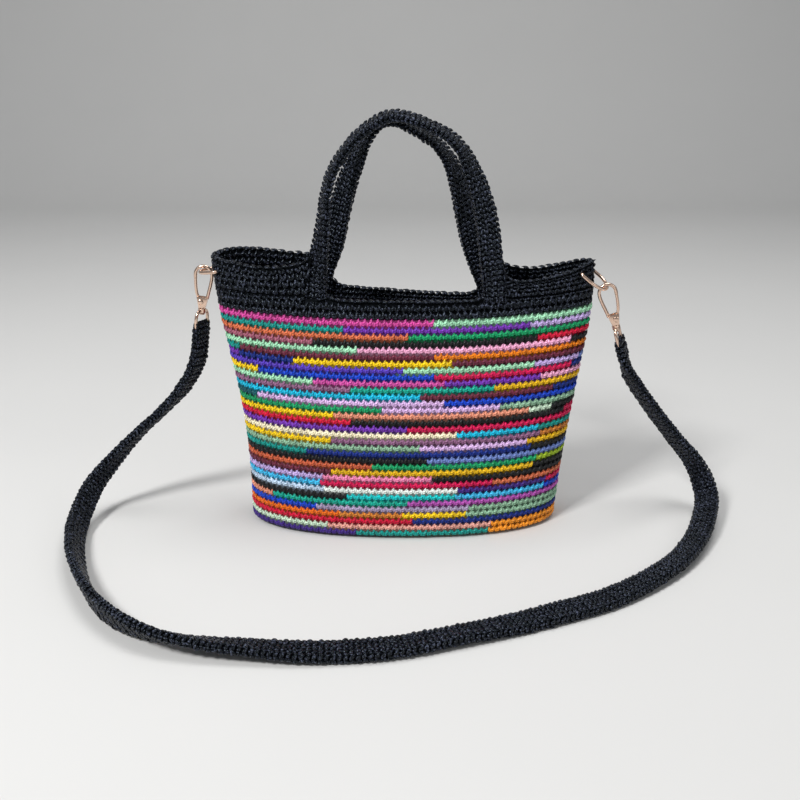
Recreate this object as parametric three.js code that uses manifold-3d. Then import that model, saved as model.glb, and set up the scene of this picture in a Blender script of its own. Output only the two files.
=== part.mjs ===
// Crocheted shoulder bag: striped body on an oval base, black top band with two carrying handles,
// a D-ring at each end of the band, and a flat shoulder strap held on by two swivel snap hooks.
// Millimetres, +Z up, front of the bag towards -Y, base centre at the origin.
import * as THREE from 'three';
import Module from 'manifold-3d';

const wasm = await Module();
wasm.setup();

// Crochet fabric
const WALL = 4.6;
const ROUNDS = 34;
const BODY_TOP = 161;
const RIDGE = 0.9;
const AROUND = 28;
const SEAM_GAP = 0.3;

// Bag form: half length and half depth of the oval at each height
const BASE_HALF_LENGTH = 114.5;
const BASE_HALF_DEPTH = 47.5;
const TOP_HALF_LENGTH = 133;
const TOP_HALF_DEPTH = 27.5;
const BASE_EDGE = 5;
const END_SHARPNESS_BASE = 2.4;
const END_SHARPNESS_TOP = 1.5;
const SIDE_FULLNESS_BASE = 2.4;
const SIDE_FULLNESS_TOP = 2.2;

// Top band
const BAND_ROUNDS = 7;
const BAND_HEIGHT = 33;
const BAND_TOP = BODY_TOP + BAND_HEIGHT;
const NOTCH_RISE = 10;
const NOTCH_FLOOR = BODY_TOP + NOTCH_RISE;
const NOTCH_OVER = 20;
const BAND_SAG = 11;
const SAG_CENTRE = 76;
const SAG_SPREAD = 32;
const BAND_LIFT = 3.5;
const LIFT_CENTRE = -98;
const LIFT_SPREAD = 30;

// Carrying handles
const HANDLE_WIDTH = 16.4;
const HANDLE_THICK = 4.8;
const LEG_CENTRE = 61;
const NOTCH_HALF = LEG_CENTRE + HANDLE_WIDTH / 2 + SEAM_GAP;
const HANDLE_RISE = 97.5;
const HANDLE_STAGGER = 5.6;
const FRONT_APEX = BAND_TOP + HANDLE_RISE;
const BACK_APEX = FRONT_APEX - HANDLE_STAGGER;

// D-rings
const RING_WIRE = 1.2;
const RING_HALF = 13;
const RING_DEPTH = 19;
const RING_STRAIGHT = 7;
const RING_HOLE = 0.6;
const RING_TURN = THREE.MathUtils.degToRad(-24);
const RIGHT_RING_INSET = 6;
const LEFT_RING_INSET = 9.5;
const RIGHT_RING_BELOW = 8;
const RIGHT_RING_Z = BAND_TOP - RIGHT_RING_BELOW;
const RIGHT_RING_DROP = THREE.MathUtils.degToRad(36);
const LEFT_RING_BELOW = 6.5;
const LEFT_RING_Z = BAND_TOP - LEFT_RING_BELOW;
const LEFT_RING_DROP = THREE.MathUtils.degToRad(8);

// Snap hooks: lengths run down the hook from the top of its arch
const HOOK_WIRE = 1.2;
const ARCH_RADIUS = 5.8;
const HOOK_SLACK = 0.35;
const NOSE_END = 8.6;
const PLATE_TOP = 22;
const PLATE_LENGTH = 8;
const PLATE_HALF_TOP = 4;
const PLATE_HALF_LOW = 2.3;
const PLATE_THICK = 5;
const SLOT_THICK = 2.8;
const GATE_THICK = 1.8;
const RIVET_DOWN = PLATE_TOP + 3.6;
const RIVET_SIDE = 0.9;
const RIVET_RADIUS = 1.1;
const RIVET_HEAD = 2;
const GATE_BOSS = RIVET_RADIUS + 1.3;
const RIVET_HEAD_THICK = 0.7;
const POST_RADIUS = 1.3;
const POST_HEAD_RADIUS = 2.1;
const POST_HEAD_THICK = 1.1;
const COLLAR_RADIUS = 2.9;
const COLLAR_LENGTH = 3.2;
const EYE_WIRE = 1.2;
const EYE_HALF = 6.9;
const EYE_LENGTH = 14.5;
const EYE_BAR = PLATE_TOP + PLATE_LENGTH + EYE_LENGTH;
const FIT = 0.35;
const EYE_TURN = THREE.MathUtils.degToRad(68);
const RIGHT_HOOK_TILT = THREE.MathUtils.degToRad(18);
const LEFT_HOOK_TILT = THREE.MathUtils.degToRad(6.8);

// Shoulder strap
const STRAP_WIDTH = 18;
const STRAP_THICK = 7;
const STRAP_END_WIDTH = 2 * (EYE_HALF - EYE_WIRE - FIT);
const STRAP_END_THICK = 7.6;
const STRAP_TAPER = 55;
const STRAP_STEPS = 56;
const STRAP_OVER_BAR = 4.4;
const STRAP_LEAD = 7;
const FLOOR_CLEAR = 0.4;

// Colours
const STRIPE_COLOUR = 0x8a6a86;
const BLACK_YARN = 0x17181d;
const ROSE_GOLD = 0xdcb79c;

const V = (x, y, z) => new THREE.Vector3(x, y, z);

function curveThrough(table) {
  const path = new THREE.CatmullRomCurve3(table.map(([z, r]) => V(z, r, 0)), false, 'centripetal');
  const fine = path.getPoints(200);
  return (z) => {
    const i = fine.findIndex((p) => p.x >= z);
    if (i <= 0) return i === 0 ? fine[0].y : fine[fine.length - 1].y;
    const f = (z - fine[i - 1].x) / (fine[i].x - fine[i - 1].x);
    return fine[i - 1].y + f * (fine[i].y - fine[i - 1].y);
  };
}

const lerp = THREE.MathUtils.lerp;
const lengthAt = curveThrough([
  [0, BASE_HALF_LENGTH],
  [BODY_TOP * 0.25, lerp(BASE_HALF_LENGTH, TOP_HALF_LENGTH, 0.09)],
  [BODY_TOP * 0.5, lerp(BASE_HALF_LENGTH, TOP_HALF_LENGTH, 0.28)],
  [BODY_TOP * 0.75, lerp(BASE_HALF_LENGTH, TOP_HALF_LENGTH, 0.6)],
  [BODY_TOP, lerp(BASE_HALF_LENGTH, TOP_HALF_LENGTH, 0.92)],
  [BAND_TOP, TOP_HALF_LENGTH],
]);
const depthAt = curveThrough([
  [0, BASE_HALF_DEPTH],
  [BODY_TOP * 0.5, lerp(BASE_HALF_DEPTH, TOP_HALF_DEPTH, 0.3)],
  [BODY_TOP, lerp(BASE_HALF_DEPTH, TOP_HALF_DEPTH, 0.85)],
  [BAND_TOP, TOP_HALF_DEPTH],
]);

// One round of the oval: sharper ends and flatter sides higher up, moved in or out by "inset".
function ovalRing(z, inset, lift = z) {
  const k = Math.min(1, Math.max(0, z / BAND_TOP));
  const m = lerp(END_SHARPNESS_BASE, END_SHARPNESS_TOP, k);
  const n = lerp(SIDE_FULLNESS_BASE, SIDE_FULLNESS_TOP, k);
  const a = lengthAt(z) - inset;
  const b = depthAt(z) - inset;
  const ring = [];
  for (let i = 0; i < AROUND; i += 1) {
    const t = (i / AROUND) * 2 * Math.PI;
    const c = Math.cos(t);
    const s = Math.sin(t);
    const x = a * Math.sign(c) * Math.abs(c) ** (2 / n);
    const y = b * Math.sign(s) * Math.abs(s) ** (2 / m);
    ring.push(V(x, y, lift));
  }
  return ring;
}

// A skin over rings of equal count: capped at both ends, or joined last to first.
function skin(rings, closed) {
  const count = rings[0].length;
  const points = rings.flat();
  const index = [];
  const last = closed ? rings.length : rings.length - 1;
  for (let r = 0; r < last; r += 1) {
    const a = r * count;
    const b = ((r + 1) % rings.length) * count;
    for (let i = 0; i < count; i += 1) {
      const j = (i + 1) % count;
      index.push(a + i, a + j, b + j, a + i, b + j, b + i);
    }
  }
  if (!closed) {
    const cap = (ring, base, flip) => {
      const mid = ring.reduce((sum, p) => sum.add(p), V(0, 0, 0)).divideScalar(count);
      const hub = points.push(mid) - 1;
      for (let i = 0; i < count; i += 1) {
        const j = (i + 1) % count;
        index.push(hub, base + (flip ? j : i), base + (flip ? i : j));
      }
    };
    cap(rings[0], 0, true);
    cap(rings[rings.length - 1], (rings.length - 1) * count, false);
  }
  const geometry = new THREE.BufferGeometry();
  geometry.setAttribute('position', new THREE.Float32BufferAttribute(points.flatMap((p) => [p.x, p.y, p.z]), 3));
  geometry.setIndex(index);
  return geometry;
}

function toSolid(geometry) {
  const plain = geometry.index ? geometry : geometry.clone();
  const pos = plain.attributes.position;
  const keys = new Map();
  const verts = [];
  const remap = [];
  for (let i = 0; i < pos.count; i += 1) {
    const p = [pos.getX(i), pos.getY(i), pos.getZ(i)];
    const key = p.map((v) => Math.round(v * 2000)).join(',');
    if (!keys.has(key)) {
      keys.set(key, verts.length / 3);
      verts.push(...p);
    }
    remap.push(keys.get(key));
  }
  const order = plain.index ? [...plain.index.array] : [...Array(pos.count).keys()];
  const tris = [];
  for (let i = 0; i < order.length; i += 3) {
    const [a, b, c] = [remap[order[i]], remap[order[i + 1]], remap[order[i + 2]]];
    if (a !== b && b !== c && a !== c) tris.push(a, b, c);
  }
  const mesh = new wasm.Mesh({
    numProp: 3,
    vertProperties: new Float32Array(verts),
    triVerts: new Uint32Array(tris),
  });
  return new wasm.Manifold(mesh);
}

function toGeometry(solid) {
  const mesh = solid.getMesh();
  const geometry = new THREE.BufferGeometry();
  const flat = [];
  for (let i = 0; i < mesh.numVert; i += 1) {
    const k = i * mesh.numProp;
    flat.push(mesh.vertProperties[k], mesh.vertProperties[k + 1], mesh.vertProperties[k + 2]);
  }
  geometry.setAttribute('position', new THREE.Float32BufferAttribute(flat, 3));
  geometry.setIndex([...mesh.triVerts]);
  return geometry;
}

const joined = (...geometries) => toGeometry(wasm.Manifold.union(geometries.map(toSolid)));

function cutBy(geometry, cutters) {
  return toGeometry(toSolid(geometry).subtract(wasm.Manifold.union(cutters.map(toSolid))));
}

// A round bar along a list of points; "closed" joins its end to its start.
function wire(points, radius, sides, closed) {
  const count = points.length;
  const rings = [];
  let normal = null;
  points.forEach((p, i) => {
    const next = points[closed ? (i + 1) % count : Math.min(i + 1, count - 1)];
    const prev = points[closed ? (i + count - 1) % count : Math.max(i - 1, 0)];
    const tangent = next.clone().sub(prev).normalize();
    if (!normal) {
      normal = Math.abs(tangent.y) < 0.9 ? V(0, 1, 0) : V(1, 0, 0);
    }
    normal = normal.clone().addScaledVector(tangent, -normal.dot(tangent)).normalize();
    const side = tangent.clone().cross(normal);
    const ring = [];
    for (let k = 0; k < sides; k += 1) {
      const t = (k / sides) * 2 * Math.PI;
      const offset = normal.clone().multiplyScalar(Math.cos(t) * radius);
      ring.push(p.clone().add(offset).addScaledVector(side, Math.sin(t) * radius));
    }
    rings.push(ring);
  });
  return skin(rings, closed);
}

// A flat band along sections that each give a centre, a width direction, a face direction and two sizes.
const STRAP_CORNERS = [
  [1, 0], [0.82, 0.8], [0.35, 1], [-0.35, 1], [-0.82, 0.8],
  [-1, 0], [-0.82, -0.8], [-0.35, -1], [0.35, -1], [0.82, -0.8],
];
// Four columns of stitches on each face of a handle
const HANDLE_CORNERS = [
  [1, 0], [0.84, 0.9], [0.5, 0.7], [0.25, 1], [0, 0.7], [-0.25, 1], [-0.5, 0.7], [-0.84, 0.9],
  [-1, 0], [-0.84, -0.9], [-0.5, -0.7], [-0.25, -1], [0, -0.7], [0.25, -1], [0.5, -0.7], [0.84, -0.9],
];

function ribbon(sections, corners) {
  return skin(sections.map(({ centre, across, face, width, thick }) => corners.map(([u, v]) => {
    const out = centre.clone().addScaledVector(across, (u * width) / 2);
    return out.addScaledVector(face, (v * thick) / 2);
  })), false);
}

// Striped body: flat oval base, rounded edge, one ridge for each round, open at the top
function bodyGeometry() {
  const pitch = (BODY_TOP - BASE_EDGE * 0.5) / ROUNDS;
  const rings = [ovalRing(0, BASE_EDGE * 1.2), ovalRing(BASE_EDGE * 0.2, BASE_EDGE * 0.4)];
  for (let r = 0; r < ROUNDS; r += 1) {
    const low = BASE_EDGE * 0.5 + r * pitch;
    rings.push(ovalRing(low + pitch * 0.06, RIDGE));
    rings.push(ovalRing(low + pitch * 0.5, 0));
  }
  rings.push(ovalRing(BODY_TOP, RIDGE * 0.6));
  rings.push(ovalRing(BODY_TOP, WALL));
  [0.7, 0.4, 0.15].forEach((f) => rings.push(ovalRing(BODY_TOP * f, WALL)));
  rings.push(ovalRing(WALL, WALL + BASE_EDGE));
  return skin(rings, false);
}

const hump = (x, centre, spread) => Math.exp(-(((x - centre) / spread) ** 2));
const sagAt = (x) => BAND_SAG * hump(x, SAG_CENTRE, SAG_SPREAD) - BAND_LIFT * hump(x, LIFT_CENTRE, LIFT_SPREAD);

// Black band: rounds above the body, dipping towards the right-hand legs
function bandRings() {
  const low = BODY_TOP + SEAM_GAP;
  const pitch = (BAND_TOP - low) / BAND_ROUNDS;
  const rings = [];
  for (let r = 0; r < BAND_ROUNDS; r += 1) {
    rings.push(ovalRing(low + pitch * (r + 0.04), RIDGE * 0.7));
    rings.push(ovalRing(low + pitch * (r + 0.5), 0));
  }
  rings.push(ovalRing(BAND_TOP, RIDGE * 0.8));
  rings.push(ovalRing(BAND_TOP, WALL - RIDGE * 0.4));
  rings.push(ovalRing((low + BAND_TOP) / 2, WALL));
  rings.push(ovalRing(low, WALL));
  rings.forEach((ring) => ring.forEach((p) => {
    const k = (p.z - low) / (BAND_TOP - low);
    p.z -= sagAt(p.x) * k * k;
  }));
  rings[0].forEach((p) => {
    p.z = low;
  });
  return rings;
}

function notchCutter() {
  const tall = BAND_TOP - NOTCH_FLOOR + NOTCH_OVER;
  const box = new THREE.BoxGeometry(2 * NOTCH_HALF, 6 * TOP_HALF_DEPTH, tall);
  box.translate(0, 0, NOTCH_FLOOR + tall / 2);
  return box;
}

// D-ring: straight bar through the fold of the band, bow outside
function ringFrame(side) {
  const right = side > 0;
  const drop = right ? RIGHT_RING_DROP : LEFT_RING_DROP;
  const z = right ? RIGHT_RING_Z : LEFT_RING_Z;
  const inset = right ? RIGHT_RING_INSET : LEFT_RING_INSET;
  const centre = V(side * (TOP_HALF_LENGTH - inset), 0, z);
  const bar = V(-Math.sin(RING_TURN), Math.cos(RING_TURN), 0);
  const level = V(side * Math.cos(RING_TURN), side * Math.sin(RING_TURN), 0);
  const out = level.clone().multiplyScalar(Math.cos(drop)).add(V(0, 0, -Math.sin(drop)));
  return { centre, bar, out, apex: centre.clone().addScaledVector(out, RING_DEPTH) };
}

function ringPath(frame) {
  const flat = [];
  const corner = 1.6;
  flat.push([0, 0], [0, RING_HALF - corner]);
  flat.push([corner * 0.3, RING_HALF - corner * 0.3], [corner, RING_HALF], [RING_STRAIGHT, RING_HALF]);
  const bow = RING_DEPTH - RING_STRAIGHT;
  for (let i = 1; i < 12; i += 1) {
    const t = (i / 12) * Math.PI;
    flat.push([RING_STRAIGHT + bow * Math.sin(t), RING_HALF * Math.cos(t)]);
  }
  flat.push([RING_STRAIGHT, -RING_HALF], [corner, -RING_HALF], [corner * 0.3, -RING_HALF + corner * 0.3]);
  flat.push([0, -RING_HALF + corner]);
  return flat.map(([u, v]) => frame.centre.clone().addScaledVector(frame.out, u).addScaledVector(frame.bar, v));
}

function ringHole(frame) {
  const ends = [-RING_HALF, RING_HALF].map((v) => frame.centre.clone().addScaledVector(frame.bar, v * 0.97));
  return wire(ends, RING_WIRE + RING_HOLE, 10, false);
}

// Carrying handles: centre line points and how far the band has turned edge-on (0 to 1) at each
const FRONT_LINE = [
  [-1, -0.86, 0, 0.02], [-0.99, -0.85, 0.1, 0.22], [-0.94, -0.8, 0.25, 0.55], [-0.885, -0.7, 0.42, 0.74],
  [-0.838, -0.58, 0.595, 0.82], [-0.775, -0.47, 0.692, 0.85], [-0.67, -0.37, 0.78, 0.86], [-0.505, -0.31, 0.876, 0.86],
  [-0.362, -0.29, 0.932, 0.86], [-0.24, -0.29, 0.968, 0.86], [-0.09, -0.29, 0.985, 0.86], [0.078, -0.29, 0.97, 0.86],
  [0.288, -0.29, 0.93, 0.86], [0.503, -0.3, 0.873, 0.84], [0.642, -0.33, 0.8, 0.76], [0.736, -0.38, 0.702, 0.58],
  [0.815, -0.46, 0.6, 0.39], [0.908, -0.62, 0.426, 0.2], [0.955, -0.78, 0.227, 0.06], [0.99, -0.84, 0.1, 0.02],
  [1, -0.86, 0, 0.02],
];
const BACK_LINE = [
  [-1, 0.86, 0, 0.02], [-0.96, 0.83, 0.1, 0.04], [-0.835, 0.74, 0.264, 0.08], [-0.71, 0.58, 0.525, 0.22],
  [-0.611, 0.46, 0.675, 0.4], [-0.505, 0.37, 0.815, 0.58], [-0.43, 0.32, 0.884, 0.74], [-0.357, 0.29, 0.935, 0.83],
  [-0.291, 0.29, 0.97, 0.86], [-0.181, 0.29, 1, 0.86], [-0.05, 0.29, 0.995, 0.86], [0.109, 0.29, 0.952, 0.86],
  [0.341, 0.3, 0.88, 0.84], [0.493, 0.34, 0.793, 0.74], [0.612, 0.42, 0.645, 0.54], [0.676, 0.52, 0.526, 0.4],
  [0.743, 0.64, 0.384, 0.22], [0.83, 0.75, 0.24, 0.1], [0.955, 0.83, 0.09, 0.03], [1, 0.86, 0, 0.02],
];
const HANDLE_STEPS = 25;

function handleGeometry(line, apex) {
  const foot = NOTCH_FLOOR + SEAM_GAP;
  const wallMid = depthAt(NOTCH_FLOOR) - WALL / 2;
  const points = line.map(([x, y, z]) => V(x * LEG_CENTRE, y * wallMid, foot + z * (apex - foot)));
  const path = new THREE.CatmullRomCurve3(points, false, 'centripetal');
  const turns = new THREE.CatmullRomCurve3(line.map((p, i) => V(i, p[3], 0)), false, 'centripetal');
  const sections = [];
  for (let i = 0; i <= HANDLE_STEPS; i += 1) {
    const u = i / HANDLE_STEPS;
    const centre = path.getPoint(u);
    const tangent = path.getTangent(u);
    const turn = THREE.MathUtils.clamp(turns.getPoint(u).y, 0, 1) * (Math.PI / 2);
    if (i === 0 || i === HANDLE_STEPS) tangent.set(0, 0, i === 0 ? 1 : -1);
    const outward = V(-tangent.z, 0, tangent.x).normalize();
    const wanted = outward.multiplyScalar(Math.cos(turn)).add(V(0, Math.sin(turn), 0));
    const across = wanted.addScaledVector(tangent, -wanted.dot(tangent)).normalize();
    const face = tangent.clone().cross(across).normalize();
    sections.push({ centre, across, face, width: HANDLE_WIDTH, thick: HANDLE_THICK });
  }
  return ribbon(sections, HANDLE_CORNERS);
}

// Snap hook pieces in the hook's own frame: X outwards, Y through the flat of the hook, Z up, arch top at zero
function hookPlacement(side) {
  const frame = ringFrame(side);
  const tilt = side > 0 ? RIGHT_HOOK_TILT : LEFT_HOOK_TILT;
  const up = V(-side * Math.sin(tilt), 0, Math.cos(tilt));
  const outward = V(side * Math.cos(tilt), 0, Math.sin(tilt));
  const through = up.clone().cross(outward);
  const top = frame.apex.clone().addScaledVector(up, RING_WIRE + HOOK_WIRE + HOOK_SLACK);
  return new THREE.Matrix4().makeBasis(outward, through, up).setPosition(top);
}

function slab(outline, thick) {
  const shape = new THREE.Shape(outline.map(([x, z]) => new THREE.Vector2(x, z)));
  const geometry = new THREE.ExtrudeGeometry(shape, { depth: thick, bevelEnabled: false, curveSegments: 6 });
  geometry.translate(0, 0, -thick / 2);
  return geometry.rotateX(Math.PI / 2);
}

function drum(radius, length, sides) {
  return new THREE.CylinderGeometry(radius, radius, length, sides);
}

function hookFrame() {
  const bow = [];
  bow.push(V(-PLATE_HALF_TOP + HOOK_WIRE * 0.55, 0, -PLATE_TOP - 1));
  bow.push(V(-PLATE_HALF_TOP + HOOK_WIRE * 0.3, 0, -PLATE_TOP + 1));
  bow.push(V(-ARCH_RADIUS, 0, -ARCH_RADIUS - 3));
  for (let i = 0; i <= 10; i += 1) {
    const t = Math.PI * (1 - i / 10);
    bow.push(V(ARCH_RADIUS * Math.cos(t), 0, -ARCH_RADIUS + ARCH_RADIUS * Math.sin(t)));
  }
  bow.push(V(ARCH_RADIUS - 0.1, 0, -NOSE_END));
  const low = PLATE_TOP + PLATE_LENGTH;
  const plate = slab([
    [-PLATE_HALF_TOP, -PLATE_TOP], [-PLATE_HALF_LOW, -low], [PLATE_HALF_LOW, -low], [PLATE_HALF_TOP, -PLATE_TOP],
  ], PLATE_THICK);
  const slotIn = RIVET_SIDE - GATE_BOSS - FIT;
  const slotLow = -RIVET_DOWN - GATE_BOSS - FIT;
  const slotOut = PLATE_HALF_TOP + 4;
  const slot = slab([
    [slotIn, -PLATE_TOP + 5], [slotIn, slotLow], [slotOut, slotLow], [slotOut, -PLATE_TOP + 5],
  ], SLOT_THICK);
  const bore = drum(RIVET_RADIUS + FIT * 0.8, PLATE_THICK * 2, 12).translate(RIVET_SIDE, 0, -RIVET_DOWN);
  const postLength = COLLAR_LENGTH + 2 * FIT + POST_HEAD_THICK + 0.6;
  const post = drum(POST_RADIUS, postLength, 12).rotateX(Math.PI / 2);
  post.translate(0, 0, -low + 0.6 - postLength / 2);
  const head = drum(POST_HEAD_RADIUS, POST_HEAD_THICK, 12).rotateX(Math.PI / 2);
  head.translate(0, 0, -low - COLLAR_LENGTH - 2 * FIT - POST_HEAD_THICK / 2);
  const body = cutBy(plate, [slot, bore]);
  return joined(wire(bow, HOOK_WIRE, 8, false), body, post, head);
}

function hookGate() {
  const tip = V(ARCH_RADIUS - 0.15, 0, -NOSE_END - FIT);
  const knee = V(PLATE_HALF_TOP - 0.1, 0, -PLATE_TOP + 1.2);
  const foot = V(RIVET_SIDE, 0, -RIVET_DOWN);
  const mid = tip.clone().lerp(knee, 0.5).add(V(0.35, 0, 0));
  const arm = wire([tip, mid, knee, knee.clone().lerp(foot, 0.72)], GATE_THICK / 2 + 0.15, 8, false);
  const boss = drum(GATE_BOSS, GATE_THICK, 12).translate(foot.x, 0, foot.z);
  const hole = drum(RIVET_RADIUS + FIT * 0.8, GATE_THICK * 3, 12).translate(foot.x, 0, foot.z);
  return cutBy(joined(arm, boss), [hole]);
}

function gateRivet() {
  const shank = drum(RIVET_RADIUS, PLATE_THICK + 2 * FIT + 0.4, 12);
  const shift = PLATE_THICK / 2 + FIT + RIVET_HEAD_THICK / 2;
  const heads = [-1, 1].map((s) => drum(RIVET_HEAD, RIVET_HEAD_THICK, 12).translate(0, s * shift, 0));
  return joined(shank, ...heads).translate(RIVET_SIDE, 0, -RIVET_DOWN);
}

function swivelEye() {
  const start = PLATE_TOP + PLATE_LENGTH + FIT;
  const mid = start + COLLAR_LENGTH / 2;
  const collar = drum(COLLAR_RADIUS, COLLAR_LENGTH, 12).rotateX(Math.PI / 2).translate(0, 0, -mid);
  const hole = drum(POST_RADIUS + FIT, COLLAR_LENGTH * 2, 12).rotateX(Math.PI / 2).translate(0, 0, -mid);
  const loop = [
    V(COLLAR_RADIUS - 0.8, 0, -mid), V(EYE_HALF - 1.6, 0, -mid - 1.4), V(EYE_HALF, 0, -mid - 4),
    V(EYE_HALF, 0, -EYE_BAR + 1.8), V(EYE_HALF - 0.5, 0, -EYE_BAR + 0.5), V(EYE_HALF - 1.8, 0, -EYE_BAR), V(0, 0, -EYE_BAR),
  ];
  const left = loop.slice(0, -1).reverse().map((p) => V(-p.x, 0, p.z));
  const eye = joined(wire([...loop, ...left], EYE_WIRE, 8, false), collar);
  return cutBy(eye, [hole]).rotateZ(EYE_TURN);
}

// Shoulder strap: from the left eye down to the floor, round in front of the bag and up to the right eye
const STRAP_FLOOR = [
  [-151, 8.5, 116, 0.42, 0.9, 0], [-163, 10, 96, 0.42, 0.9, 0], [-178, 10, 80, 0.32, 0.93, 0],
  [-199, 8, 61, 0.2, 0.95, -0.2], [-216.5, 3, 43, 0.25, 0.85, -0.45], [-232, -8, 24.5, 0.4, 0.55, -0.72],
  [-235, -38, 11, 0.5, 0.2, -0.85], [-223.5, -81, 9, 0.45, 0.1, -0.88], [-206, -118, 9, 0.3, 0.15, -0.93],
  [-187, -146, 8.5, 0.05, 0.3, -0.93], [-166, -165, 8, -0.1, 0.5, -0.84], [-144, -176, 7, -0.1, 0.7, -0.68],
  [-120, -181, 6, -0.1, 0.85, -0.45], [-87, -184, 5, 0, 0.95, -0.25], [-59, -185.5, 4, 0, 1, -0.15],
  [-31, -184, 4, 0, 1, -0.12], [-2.4, -180, 4, -0.1, 1, -0.12], [36.6, -168, 4, -0.3, 0.95, -0.12],
  [64.8, -158, 4, -0.35, 0.93, -0.12], [94.6, -146, 4, -0.38, 0.92, -0.12], [125.4, -132, 4, -0.45, 0.9, -0.15],
  [160.7, -108, 5, -0.6, 0.78, -0.2], [191, -79, 6, -0.75, 0.6, -0.25], [215, -42, 9, -0.86, 0.4, -0.35],
  [229, -4, 17.5, -0.78, 0.4, -0.42], [223, 8, 34.5, -0.5, 0.75, -0.4], [204, 10, 57.5, -0.35, 0.9, -0.3],
  [183.5, 6, 83, -0.3, 0.93, -0.2], [165.5, 0, 108, -0.3, 0.94, -0.1],
];

function strapEnd(side, along) {
  const place = hookPlacement(side);
  const centre = V(0, 0, -EYE_BAR - along).applyMatrix4(place);
  const across = V(Math.cos(EYE_TURN), Math.sin(EYE_TURN), 0).transformDirection(place);
  return { centre, across };
}

function strapGeometry() {
  const points = [];
  const widths = [];
  const add = ({ centre, across }) => {
    points.push(centre);
    widths.push(across);
  };
  const leftEnd = [-STRAP_OVER_BAR, 0, STRAP_LEAD].map((d) => strapEnd(-1, d));
  const rightEnd = [STRAP_LEAD, 0, -STRAP_OVER_BAR].map((d) => strapEnd(1, d));
  const flip = (end) => (end.across.y < 0 ? { centre: end.centre, across: end.across.clone().negate() } : end);
  leftEnd.map(flip).forEach(add);
  STRAP_FLOOR.forEach(([x, y, z, u, v, w]) => add({ centre: V(x, y, z), across: V(u, v, w).normalize() }));
  rightEnd.map(flip).forEach(add);
  const path = new THREE.CatmullRomCurve3(points, false, 'centripetal');
  const turn = new THREE.CatmullRomCurve3(widths, false, 'centripetal');
  const length = path.getLength();
  const sections = [];
  const stations = [0, 0.0015, 0.005, 0.01];
  for (let i = 1; i < STRAP_STEPS; i += 1) stations.push(i / STRAP_STEPS);
  stations.push(0.99, 0.995, 0.9985, 1);
  stations.forEach((u) => {
    const t = path.getUtoTmapping(u);
    const centre = path.getPoint(t);
    const tangent = path.getTangent(t);
    const wanted = turn.getPoint(t);
    const across = wanted.addScaledVector(tangent, -wanted.dot(tangent)).normalize();
    const face = tangent.clone().cross(across).normalize();
    const near = Math.min(u, 1 - u) * length;
    const open = THREE.MathUtils.smoothstep(near, 9, STRAP_TAPER);
    const round = Math.min(1, Math.sqrt(Math.max(0.12, near / 3)));
    const width = lerp(STRAP_END_WIDTH, STRAP_WIDTH, open);
    const thick = lerp(STRAP_END_THICK, STRAP_THICK, open) * round;
    const reach = Math.abs(across.z) * (width / 2) + Math.abs(face.z) * (thick / 2);
    centre.z = Math.max(centre.z, reach + FLOOR_CLEAR);
    sections.push({ centre, across, face, width, thick });
  });
  const holes = [leftEnd[1], rightEnd[1]].map(({ centre, across }) => wire([
    centre.clone().addScaledVector(across, -STRAP_WIDTH),
    centre.clone().addScaledVector(across, STRAP_WIDTH),
  ], EYE_WIRE + FIT, 12, false));
  return cutBy(ribbon(sections, STRAP_CORNERS), holes);
}

const group = new THREE.Group();

function addPiece(name, geometry, colour, roughness, metalness) {
  const plain = geometry.index ? geometry.toNonIndexed() : geometry;
  plain.computeVertexNormals();
  const mesh = new THREE.Mesh(plain, new THREE.MeshStandardMaterial({ color: colour, roughness, metalness }));
  mesh.name = name;
  group.add(mesh);
}

const rings = { left: ringFrame(-1), right: ringFrame(1) };
addPiece('crochet_body', bodyGeometry(), STRIPE_COLOUR, 0.9, 0);
const bandCutters = [notchCutter(), ringHole(rings.left), ringHole(rings.right)];
addPiece('top_band', cutBy(skin(bandRings(), true), bandCutters), BLACK_YARN, 0.92, 0);
addPiece('handle_front', handleGeometry(FRONT_LINE, FRONT_APEX), BLACK_YARN, 0.92, 0);
addPiece('handle_back', handleGeometry(BACK_LINE, BACK_APEX), BLACK_YARN, 0.92, 0);

Object.entries(rings).forEach(([name, frame]) => {
  const side = name === 'right' ? 1 : -1;
  const place = hookPlacement(side);
  const placed = (geometry) => geometry.applyMatrix4(place);
  addPiece(`ring_${name}`, wire(ringPath(frame), RING_WIRE, 8, true), ROSE_GOLD, 0.25, 1);
  addPiece(`hook_frame_${name}`, placed(hookFrame()), ROSE_GOLD, 0.25, 1);
  addPiece(`hook_gate_${name}`, placed(hookGate()), ROSE_GOLD, 0.25, 1);
  addPiece(`gate_rivet_${name}`, placed(gateRivet()), ROSE_GOLD, 0.25, 1);
  addPiece(`swivel_eye_${name}`, placed(swivelEye()), ROSE_GOLD, 0.25, 1);
});
addPiece('strap', strapGeometry(), BLACK_YARN, 0.92, 0);

export default group;
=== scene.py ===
"""Crocheted shoulder bag: every stitch, ring, hook and strap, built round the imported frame."""

import math
import random

import bmesh
import bpy
import numpy as np
from bpy.props import FloatProperty, FloatVectorProperty, IntProperty, PointerProperty
from bpy.types import Operator, Panel, PropertyGroup
from mathutils import Matrix, Vector


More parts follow.
